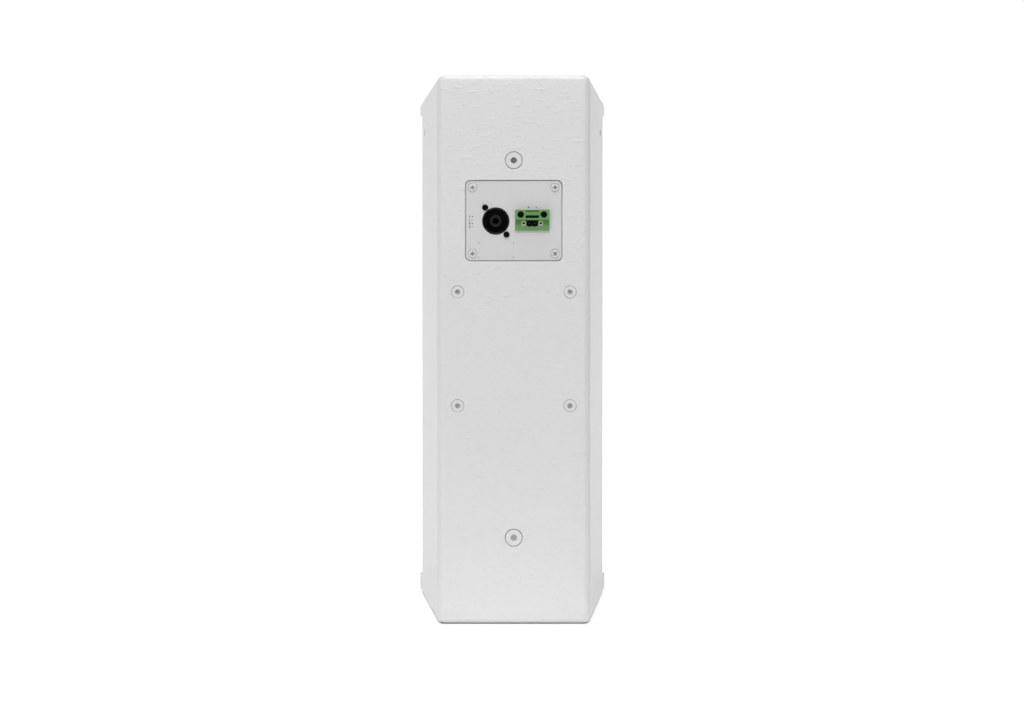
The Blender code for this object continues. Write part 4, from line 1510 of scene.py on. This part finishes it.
# ------------------------------------------------------------------ link header
def header():
    foot = PLATE_FACE + 0.05
    base, crown, split = HEADER_Z - 9.2, HEADER_Z + 9.2, HEADER_SPLIT
    side = soften(
        [
            (foot, base, 0.1),
            (HEADER_LOW, base, 0.3),
            (HEADER_LOW - HEADER_SLOPE, split, 0.12),
            (HEADER_TOP, split, 0.35),
            (HEADER_TOP, crown, 0.35),
            (foot, crown, 0.1),
        ],
        4,
        True,
    )

    def section(x, shrink):
        cy = (foot + HEADER_TOP) / 2
        return [
            Vector((x, y - shrink * (1 if y > cy else 0), z + shrink * (1 if z < HEADER_Z else -1)))
            for y, z in side
        ]

    def low_at(z):
        return HEADER_LOW - HEADER_SLOPE * (z - base) / (split - base)

    half = 15.2
    mouth_y = low_at(INSERT_Z)
    ends = [
        (-half, 0.3),
        (-half + 0.09, 0.09),
        (-half + 0.3, 0.0),
        (half - 0.3, 0.0),
        (half - 0.09, 0.09),
        (half, 0.3),
    ]
    obj = to_object("header_block", loft([section(HEADER_X + x, s) for x, s in ends]))
    body = rear_prism(
        round_rect(HEADER_X, 355.6, 21.2, 9.8, 0.6, 0, 4), PLATE_FACE - 14, PLATE_FACE + 1
    )
    cut(obj, [body], "UNION")
    cutters = []
    # Window between the screw bosses, stepped in twice.
    cutters.append(
        rear_prism(round_rect(HEADER_X, 367.4, 12.6, 9.2, 0.5, 0, 4), HEADER_TOP - 0.75, HEADER_TOP + 3)
    )
    cutters.append(
        rear_prism(round_rect(HEADER_X, 368.3, 10.8, 5.0, 0.4, 0, 4), HEADER_TOP - 1.7, HEADER_TOP + 3)
    )
    # Groove across the window's floor.
    cutters.append(
        rear_prism(round_rect(HEADER_X, 366.7, 11.8, 1.0, 0.3, 0, 4), HEADER_TOP - 3.0, HEADER_TOP + 3)
    )
    # Latch slot.
    cutters.append(
        rear_prism(round_rect(HEADER_X, 361.62, 12.0, 2.35, 0.35, 0, 4), HEADER_TOP - 3.4, HEADER_TOP + 3)
    )
    # Pin cavity with a small lead-in.
    cutters.append(
        loft(
            [
                [Vector((x, y, z)) for x, z in lobed(g)]
                for y, g in ((PLATE_FACE - 9, 0.0), (mouth_y - 0.3, 0.0), (mouth_y - 0.05, 0.2), (HEADER_LOW + 1.0, 0.2))
            ]
        )
    )
    for s in (1, -1):
        x = HEADER_X + s * 10.25
        cutters.append(round_hole(x, HEADER_SCREW_Z, 2.95, HEADER_TOP, 0.2, 2.5, 48))
        cutters.append(round_hole(x, HEADER_SCREW_Z, 1.7, HEADER_TOP - 2.5, 0.1, 16, 28))
        cutters.append(round_hole(HEADER_X + s * 7.55, INSERT_Z, 2.0, mouth_y, 0.12, 6.6, 36))
        px = HEADER_X + s * 2.5
        cutters.append(box((px - 0.6, PLATE_FACE - 16, INSERT_Z - 0.6), (px + 0.6, PLATE_FACE - 7, INSERT_Z + 0.6)))
    # Shallow grip ribs along the block's lower edge.
    for i in range(7):
        x = HEADER_X - 9.0 + 3.0 * i
        cutters.append(
            rear_prism(round_rect(x, HEADER_Z - 9.1, 0.7, 2.0, 0.3, 0, 3), HEADER_LOW - 0.25, HEADER_LOW + 1)
        )
    cut(obj, cutters)
    shade(obj, 30, True)
    # The pin cavity and the latch slot are coloured black plastic: painted shade in the green moulding's deep
    # hollows.
    wear(obj, GREEN, BLACK)
    paint_faces(
        obj,
        1,
        lambda c, n: (
            abs(c.x - HEADER_X) < 5.3
            and 352.4 < c.z < 359.0
            and PLATE_FACE - 9.1 < c.y < mouth_y - 0.3
        )
        or (abs(c.x - HEADER_X) < 6.1 and 360.35 < c.z < 362.9 and PLATE_FACE + 0.5 < c.y < HEADER_TOP - 1.0),
    )
    piece(obj, "green_plastic", "link_header_housing")

    for number, s in enumerate((1, -1), 1):
        at = (HEADER_X + s * 7.55, mouth_y + 0.1, INSERT_Z)
        inner = []
        h = -0.35
        while h > -6.0:
            inner += [(1.05, h), (1.25, h - 0.25)]
            h -= 0.5
        ring = to_object(
            f"header_bush_{number}",
            lathe(
                soften([(1.25, 0.28, 0.1), (2.15, 0.28, 0.12), (2.15, 0.03, 0.05), (1.88, 0.03), (1.88, -6.2, 0.1), (1.05, -6.2, 0.1)], 3, True)[:-4]
                + [(1.1, -6.2)]
                + list(reversed(inner)),
                at,
                BACK,
                48,
                True,
            ),
        )
        # The bush's bore is coloured blackened steel: painted shade deep in the nickel bush's hole.
        wear(ring, NICKEL, BLACKENED)
        middle = Vector(at)
        paint_faces(
            ring,
            1,
            lambda c, n: math.hypot(c.x - middle.x, c.z - middle.z) < 1.3 and c.y < middle.y - 0.2,
        )
        piece(ring, "plated_steel", f"header_insert_{number}")
        px = HEADER_X + s * 2.5
        loops = []
        for y, w in (
            (PLATE_FACE - 20.0, 0.3),
            (PLATE_FACE - 19.3, 0.5),
            (PLATE_FACE - 1.6, 0.5),
            (PLATE_FACE - 0.8, 0.38),
            (PLATE_FACE - 0.5, 0.2),
        ):
            loops.append([Vector((x, y, z)) for x, z in round_rect(px, INSERT_Z, 2 * w, 2 * w, 0.12, 0, 3)])
        pin = to_object(f"header_contact_{number}", loft(loops), 40)
        wear(pin, ZINC)
        piece(pin, "plated_steel", f"header_pin_{number}")


header()


# ------------------------------------------------------------------ inside
def inner_parts():
    inside = Y_REAR - PANEL
    for where, z in zip(("bottom", "top"), RIG_Z):
        nut = to_object(
            f"rigging_nut_{where}",
            lathe(
                soften([(5.0, 7.0, 0.3), (5.0, -GAP, 0.3), (12.0, -GAP, 0.4), (12.0, -2.3, 0.6), (4.3, -2.3, 0.3), (4.3, 7.0, 0.3)], 3, True),
                (0, inside, z),
                BACK,
                64,
                True,
            ),
        )
        teeth = []
        for i in range(4):
            a = math.radians(45 + 90 * i)
            teeth.append(
                lathe([(0, 3), (1.6, 3), (1.6, -4), (0, -4)], (9.0 * math.cos(a), inside - 1, z + 9.0 * math.sin(a)), BACK, 20)
            )
        cut(nut, teeth)
        shade(nut, 30, True)
        wear(nut, ZINC)
        piece(nut, "plated_steel", f"rigging_anchor_{where}")
    spread = to_object(
        "bracket_spreader",
        loft(
            rear_loops(
                lambda g: round_rect(0, sum(BRACKET_Z) / 2, 112, 122, 6, g, 8),
                [(inside - GAP - 5.0, -0.5), (inside - GAP - 4.5, 0.0), (inside - GAP - 0.5, 0.0), (inside - GAP, -0.5)],
            )
        ),
    )
    holes = [round_hole(x, z, 3.3, inside - GAP, 0.3, 12, 32) for x in (-50, 50) for z in BRACKET_Z]
    holes.append(rear_prism(round_rect(0, sum(BRACKET_Z) / 2, 60, 70, 12, 0, 8), inside - 12, inside + 4))
    cut(spread, holes)
    shade(spread, 30, True)
    wear(spread, ZINC)
    piece(spread, "plated_steel", "bracket_backing_plate")


inner_parts()


def woofer(which):
    z = WOOFER_Z[which]
    at = (0, BAFFLE_FACE, z)
    body = f"{which}_cone"
    sides = 72

    def turned(name, points, look, slot, node, seg=4, closed=True, where="cabinet", angle=32):
        obj = to_object(f"{which}_{name}", lathe(soften(points, seg, closed), at, FRONT, sides, closed), angle)
        wear(obj, look)
        return piece(obj, slot, f"{which}_woofer_{node}", body=where)

    basket = to_object(
        f"{which}_basket",
        lathe(
            soften(
                [
                    (57.0, 3.3, 0.4),
                    (69.0, 3.3, 1.0),
                    (69.0, 0.3, 0.4),
                    (58.6, 0.3, 0.5),
                    (58.0, -5.0, 3.0),
                    (48.0, -32.0, 2.0),
                    (48.0, -35.0, 0.6),
                    (16.0, -35.0, 0.4),
                    (16.0, -32.0, 0.4),
                    (33.5, -32.0, 0.6),
                    (33.5, -25.0, 0.4),
                    (36.5, -25.0, 0.4),
                    (36.5, -32.0, 0.6),
                    (45.5, -32.0, 1.0),
                    (55.6, -5.0, 2.0),
                ],
                3,
                True,
            ),
            at,
            FRONT,
            sides,
            True,
        ),
    )
    cutters = []
    for i in range(6):
        a = math.radians(30 + 60 * i)
        u = Vector((math.cos(a), 0, math.sin(a)))
        v = Vector((-math.sin(a), 0, math.cos(a)))
        for r in (52.0,):
            outline = round_rect(0, -18.5, 36.0, 22.0, 6.0, 0, 5)
            loops = []
            for d in (-14.0, 16.0):
                k = 1.0 + d / 90.0
                loops.append(
                    [Vector(at) + u * (r + d) + v * (p * k) + FRONT * h for p, h in outline]
                )
            cutters.append(loft(loops))
    for i in range(4):
        a = math.radians(45 + 90 * i)
        cutters.append(
            lathe(
                [(0, 8), (2.4, 8), (2.4, -4), (0, -4)],
                Vector(at) + Vector((64.5 * math.cos(a), 0, 64.5 * math.sin(a))),
                FRONT,
                24,
            )
        )
    cut(basket, cutters)
    shade(basket, 30, True)
    wear(basket, BASKET)
    piece(basket, "black_steel", f"{which}_woofer_basket")

    turned("top_plate", [(13.7, -35.3, 0.3), (38.0, -35.3, 0.8), (38.0, -41.3, 0.8), (13.7, -41.3, 0.3)], ZINC, "plated_steel", "front_plate")
    turned("magnet_ring", [(20.0, -41.6, 0.6), (45.0, -41.6, 1.2), (45.0, -57.6, 1.2), (20.0, -57.6, 0.6)], FERRITE, "ferrite", "magnet")
    turned(
        "yoke_core",
        [
            (0.0, -35.3),
            (11.9, -35.3, 0.8),
            (11.9, -57.9, 0.6),
            (40.0, -57.9, 0.8),
            (40.0, -63.9, 2.0),
            (24.0, -63.9),
            (22.5, -63.0),
            (0.0, -63.0),
        ],
        ZINC,
        "plated_steel",
        "yoke",
        closed=False,
    )
    turned("coil", [(12.5, -17.8, 0.1), (13.1, -17.8, 0.1), (13.1, -46.0, 0.1), (12.5, -46.0, 0.1)], WINDING, "copper_winding", "voice_coil", 2, where=body)

    # Cone: a shallow exponential flare with three pressed ribs and a dust dome.
    def front(r):
        t = (r - 13.4) / (46.5 - 13.4)
        rib = sum(0.32 * math.exp(-(((r - c) / 0.9) ** 2)) for c in (27.0, 33.5, 40.0))
        return -17.6 + 20.9 * t - 1.1 * math.sin(math.pi * t) * 0.25 + rib

    def cap(r):
        return -6.6 + (front(20.0) + 6.6) * (r / 20.0) ** 2.2

    out_r = [20.0 + 26.3 * i / 40 for i in range(41)]
    profile = [(0.0, cap(0.0))] + [(20.0 * i / 14, cap(20.0 * i / 14)) for i in range(1, 14)]
    profile += [(r, front(r)) for r in out_r] + [(46.5, 3.1), (46.5, 2.4)]
    profile += [(r, front(r) - 1.0) for r in reversed(out_r)]
    profile += [(14.4, -18.2), (14.2, -20.8), (13.4, -20.8), (13.4, -17.5), (18.4, front(18.4) - 0.05)]
    profile += [(18.4 * i / 10, cap(18.4 * i / 10) - 0.7) for i in range(9, 0, -1)]
    profile += [(0.0, cap(0.0) - 0.7)]
    cone = to_object(f"{which}_cone_pressing", lathe(profile, at, FRONT, 96))
    wear(cone, PULP)
    piece(cone, "paper_cone", f"{which}_woofer_cone", body=body)

    def soft_ring(name, points, look, node):
        obj = to_object(f"{which}_{name}", lathe(points, at, FRONT, 96, True), 50)
        wear(obj, look)
        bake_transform(obj)
        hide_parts(f"{which}_woofer_{node}")

    over = [
        (51.3 + 4.2 * math.cos(a), 3.9 + 3.3 * math.sin(a))
        for a in [math.pi * (1 - i / 16) for i in range(17)]
    ]
    under = [
        (51.3 + 3.3 * math.cos(a), 3.0 + 3.3 * math.sin(a))
        for a in [math.pi * i / 16 for i in range(17)]
    ]
    soft_ring(
        "roll_surround",
        [(46.8, 3.7)] + over[1:-1] + [(55.8, 4.5), (60.7, 4.55), (61.0, 4.3), (61.0, 3.6), (55.2, 3.6)] + under[1:-1] + [(48.0, 2.6), (46.8, 2.6)],
        RUBBER,
        "surround",
    )
    waves = []
    for i in range(57):
        r = 13.5 + 23.5 * i / 56
        fade = min(1.0, (r - 13.5) / 2.5, (37.0 - r) / 3.5)
        waves.append((r, 0.85 * fade * math.sin((r - 13.5) * 2 * math.pi / 4.2)))
    soft_ring(
        "corrugated_spider",
        [(r, -23.4 + h + 0.25) for r, h in waves] + [(r, -23.4 + h - 0.25) for r, h in reversed(waves)],
        CLOTH,
        "spider",
    )


for which in ("upper", "lower"):
    woofer(which)


def high_frequency():
    at = (0, BAFFLE_FACE, HF_Z)

    def loop(hx, hz, power, h, count=96):
        points = []
        for i in range(count):
            a = 2 * math.pi * (i + 0.5) / count
            c, s = math.cos(a), math.sin(a)
            k = (abs(c) ** power + abs(s) ** power) ** (-1.0 / power)
            points.append(Vector((hx * c * k, BAFFLE_FACE - h, HF_Z + hz * s * k)))
        return points

    inner, outer = [], []
    steps = 20
    for i in range(steps + 1):
        t = i / steps
        h = -46.0 + 50.3 * t
        hx = 12.7 + 41.3 * t**1.6
        hz = 12.7 + 47.3 * t**0.9
        power = 2.0 + 4.0 * t
        inner.append(loop(hx, hz, power, h))
        if 1 <= i and h < -0.6:
            outer.append(loop(hx + 3.0, hz + 3.0, power, h))
    rings = [loop(54.8, 60.8, 6.0, 4.3)] + list(reversed(inner[:-1] + [loop(53.6, 59.6, 6.0, 3.6)]))
    rings += [loop(12.7, 12.7, 2.0, -50.0), loop(29.6, 29.6, 2.0, -50.0), loop(30.0, 30.0, 2.0, -49.6)]
    rings += [loop(30.0, 30.0, 2.0, -46.4), loop(29.6, 29.6, 2.0, -46.0), loop(17.0, 17.0, 2.0, -46.0)]
    rings += outer
    rings += [loop(58.0, 64.0, 6.0, 0.3), loop(69.4, 74.4, 16.0, 0.3), loop(70.0, 75.0, 16.0, 0.9)]
    rings += [loop(70.0, 75.0, 16.0, 3.6), loop(69.3, 74.3, 16.0, 4.3)]
    horn = to_object("horn_flare", loft(rings, True), 32)
    cut(
        horn,
        [
            lathe([(0, 9), (2.4, 9), (2.4, -4), (0, -4)], (sx * 63.0, BAFFLE_FACE, HF_Z + sz * 68.0), FRONT, 24)
            for sx in (-1, 1)
            for sz in (-1, 1)
        ],
    )
    shade(horn, 32, True)
    wear(horn, BLACK)
    piece(horn, "black_plastic", "waveguide")

    driver = to_object(
        "horn_motor",
        lathe(
            soften(
                [
                    (0.0, -84.0),
                    (27.0, -84.0, 0.5),
                    (27.0, -74.0, 0.5),
                    (12.7, -72.0, 0.5),
                    (12.7, -50.3, 0.3),
                    (38.0, -50.3, 0.8),
                    (38.0, -56.0, 0.4),
                    (41.0, -56.0, 1.0),
                    (41.0, -74.0, 1.0),
                    (38.6, -74.0, 0.4),
                    (38.6, -77.0, 0.4),
                    (41.0, -77.0, 0.8),
                    (41.0, -90.0, 2.0),
                    (37.0, -93.0, 1.0),
                    (0.0, -93.0),
                ],
                4,
            ),
            at,
            FRONT,
            80,
        ),
        32,
    )
    fins = []
    for i in range(24):
        a = math.radians(15 * i)
        fins.append(
            lathe([(0, 3), (1.5, 3), (1.5, -4), (0, -4)], Vector(at) + Vector((34.0 * math.cos(a), 92.0, 34.0 * math.sin(a))), BACK, 12)
        )
    cut(driver, fins)
    shade(driver, 32, True)
    wear(driver, BASKET)
    piece(driver, "black_steel", "compression_driver")

    def dome(r):
        return -77.0 - 4.5 * (1 - (r / 21.0) ** 2)

    rs = [21.0 * i / 16 for i in range(17)]
    roll = [(21.0 + 4.5 * i / 16, -77.0 + 0.45 * math.sin(math.pi * i / 16) ** 2) for i in range(1, 17)]
    diaphragm = to_object(
        "horn_dome",
        lathe(
            [(r, dome(r)) for r in rs] + roll + [(r, h - 0.45) for r, h in reversed(roll)] + [(r, dome(r) - 0.45) for r in reversed(rs)],
            at,
            FRONT,
            96,
        ),
        40,
    )
    wear(diaphragm, FOIL)
    piece(diaphragm, "diaphragm_metal", "hf_diaphragm", body="hf_dome")


high_frequency()


def crossover():
    inside = Y_REAR - PANEL
    coil_at = Vector((18, inside - 9.6 - GAP, 139.0))
    profile = [(8.0, 20.0), (18.6, 20.0), (19.0, 19.6), (19.0, 18.9), (18.6, 18.5), (17.3, 18.5)]
    h = 18.0
    while h > 2.0:
        profile += [(17.6, h), (17.25, h - 0.45)]
        h -= 0.9
    profile += [(17.3, 1.5), (18.6, 1.5), (19.0, 1.1), (19.0, 0.4), (18.6, 0.0), (8.0, 0.0)]
    coil = to_object("filter_coil", lathe(profile, coil_at, FRONT, 64, True), 40)
    wear(coil, WINDING, BLACK)
    paint_faces(coil, 1, lambda c, n: not 1.6 < coil_at.y - c.y < 18.4 or math.hypot(c.x - coil_at.x, c.z - coil_at.z) < 10)
    piece(coil, "copper_winding", "crossover_inductor")
    can_at = Vector((-21, inside - 9.6 - GAP - 9.2, 112.0))
    can = to_object(
        "filter_capacitor",
        lathe(
            soften([(0.0, 46.0), (7.6, 46.0), (7.8, 45.6), (9.0, 45.6, 0.8), (9.0, 41.6, 0.4), (8.6, 41.0, 0.5), (9.0, 40.4, 0.4), (9.0, 0.0, 0.9), (0.0, 0.0)], 4),
            can_at,
            (0, 0, 1),
            56,
        ),
        35,
    )
    wear(can, SLEEVE)
    piece(can, "capacitor_sleeve", "crossover_capacitor")


crossover()

for node, look in (("front_baffle", STAINED), ("crossover_board", BOARD)):
    wear(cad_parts[node], look)


# ------------------------------------------------------------------ studio
def floor():
    """A plain pale floor that glows softly: its emission is painted light, which lights the cabinet's lower part and
    is kept off at the cabinet's footprint, so a dark line shows where the object stands.
    """
    bm = bmesh.new()
    corners = ((-12000.0, -12000.0), (12000.0, -12000.0), (12000.0, 470.0), (-12000.0, 470.0))
    bm.faces.new([bm.verts.new((x, y, 0.0)) for x, y in corners])
    obj = to_object("studio_floor", bm)
    k = Look("floor_pale_painted_glow", (0.90, 0.90, 0.90), 0.9, spec=0.1)
    k.base(k.ramp(k.noise(1.5, 2.0), (0.895, 0.895, 0.895), (0.905, 0.905, 0.905)))
    split = k.node("ShaderNodeSeparateXYZ")
    k.link(k.place, split.inputs["Vector"])

    def outside(axis, half):
        size = k.node("ShaderNodeMath", operation="ABSOLUTE")
        k.link(split.outputs[axis], size.inputs[0])
        return k.math("MAXIMUM", k.math("SUBTRACT", size.outputs[0], half), 0.0)

    # The footprint is the cabinet's, wider at the front; the painted glow is kept low at its edge.
    deep = split.outputs["Y"]
    beside, beyond = outside("X", k.span(deep, 0.0883, 0.0641, -0.097, 0.093)), outside("Y", 0.091)
    away = k.math("SQRT", k.math("ADD", k.math("MULTIPLY", beside, beside), k.math("MULTIPLY", beyond, beyond)), 0.0)
    close = k.span(deep, 0.54, 0.46, -0.09, 0.09)
    middle = k.math("ADD", k.span(deep, 0.90, 0.40, -0.36, -0.06), k.span(deep, 0.0, 0.02, 0.02, 0.12))
    outer = k.span(deep, 0.90, 0.52, -0.6, 0.1)
    # The emission strength is painted light: low next to the cabinet, stronger further off.
    glow = k.math("MULTIPLY", close, k.math("MAXIMUM", k.span(away, 0.0, 1.0, 0.001, 0.010), k.span(beside, 0.0, 1.0, 0.0, 0.003)))
    glow = k.math("ADD", glow, k.math("MULTIPLY", k.span(away, 0.0, 1.0, 0.06, 0.10), k.math("SUBTRACT", middle, close)))
    glow = k.math("ADD", glow, k.math("MULTIPLY", k.span(away, 0.0, 1.0, 0.25, 0.35), k.math("SUBTRACT", outer, middle)))
    glow = k.math("ADD", glow, k.span(away, 0.0, 0.08, 0.6, 1.2))
    glow = k.math("ADD", glow, k.span(outside("X", 0.0), 0.0, 0.42, 0.7, 2.0))
    k.set("Emission Color", (1.0, 1.0, 1.0, 1.0))
    k.link(glow, k.bsdf.inputs["Emission Strength"])
    wear(obj, k.mat)
    obj.location.z = -0.0002


floor()


def lamp(name, where, aim, size, watts, colour=(1, 1, 1)):
    data = bpy.data.lights.new(name, "AREA")
    data.shape = "RECTANGLE"
    data.size, data.size_y = size
    data.energy = watts
    data.color = colour
    obj = bpy.data.objects.new(name, data)
    SCENE.collection.objects.link(obj)
    obj.location = where
    obj.rotation_euler = (Vector(aim) - Vector(where)).to_track_quat("-Z", "Y").to_euler()
    return obj


lamp("top_softbox", (0.05, 0.40, 2.0), (0, 0.15, 0.2), (1.3, 1.1), 15.5)
lamp("key_softbox", (0.12, 1.1, 1.6), (0, 0.09, 0.25), (0.8, 0.6), 9.8)
lamp("side_softbox", (1.3, 1.9, 0.5), (0, 0.09, 0.24), (0.8, 1.2), 2.6)

world = bpy.data.worlds.new("studio")
SCENE.world = world
world.use_nodes = True
nodes, links = world.node_tree.nodes, world.node_tree.links
nodes.clear()
out = nodes.new("ShaderNodeOutputWorld")
# The room: a bright wall beyond the object, a wide soft light at the camera's end,
# and pale ground past the floor's edge.
where = nodes.new("ShaderNodeTexCoord")
split = nodes.new("ShaderNodeSeparateXYZ")
links.new(where.outputs["Generated"], split.inputs["Vector"])
total = None
for axis, begin, end, level in (
    ("Y", -0.55, -0.95, 1.30),
    ("Y", -0.35, 0.8, 0.285),
    ("Z", 0.0, -0.15, 0.27),
):
    wall = nodes.new("ShaderNodeMapRange")
    wall.interpolation_type = "SMOOTHSTEP"
    wall.inputs["From Min"].default_value = begin
    wall.inputs["From Max"].default_value = end
    wall.inputs["To Min"].default_value = 0.0
    wall.inputs["To Max"].default_value = level
    links.new(split.outputs[axis], wall.inputs["Value"])
    if total is None:
        total = wall.outputs["Result"]
    else:
        both = nodes.new("ShaderNodeMath")
        both.operation = "ADD"
        links.new(total, both.inputs[0])
        links.new(wall.outputs["Result"], both.inputs[1])
        total = both.outputs["Value"]
fill = nodes.new("ShaderNodeBackground")
fill.inputs["Color"].default_value = (1, 1, 1, 1)
links.new(total, fill.inputs["Strength"])
plain = nodes.new("ShaderNodeBackground")
plain.inputs["Color"].default_value = (1, 1, 1, 1)
plain.inputs["Strength"].default_value = 1.05
pick = nodes.new("ShaderNodeMixShader")
path = nodes.new("ShaderNodeLightPath")
links.new(path.outputs["Is Camera Ray"], pick.inputs["Fac"])
links.new(fill.outputs["Background"], pick.inputs[1])
links.new(plain.outputs["Background"], pick.inputs[2])
links.new(pick.outputs["Shader"], out.inputs["Surface"])

camera = bpy.data.cameras.new("camera")
camera.sensor_width = 36.0
camera.lens = 61.94
camera.shift_x, camera.shift_y = 0.011975, -0.0249
camera.clip_start, camera.clip_end = 0.01, 60.0
eye = bpy.data.objects.new("camera", camera)
SCENE.collection.objects.link(eye)
eye.location = (0.0125, Y_REAR * MM + 1.566, 0.2634)
eye.rotation_euler = (math.pi / 2, 0, math.pi)
SCENE.camera = eye
SCENE.view_settings.view_transform = "Standard"
SCENE.view_settings.look = "None"
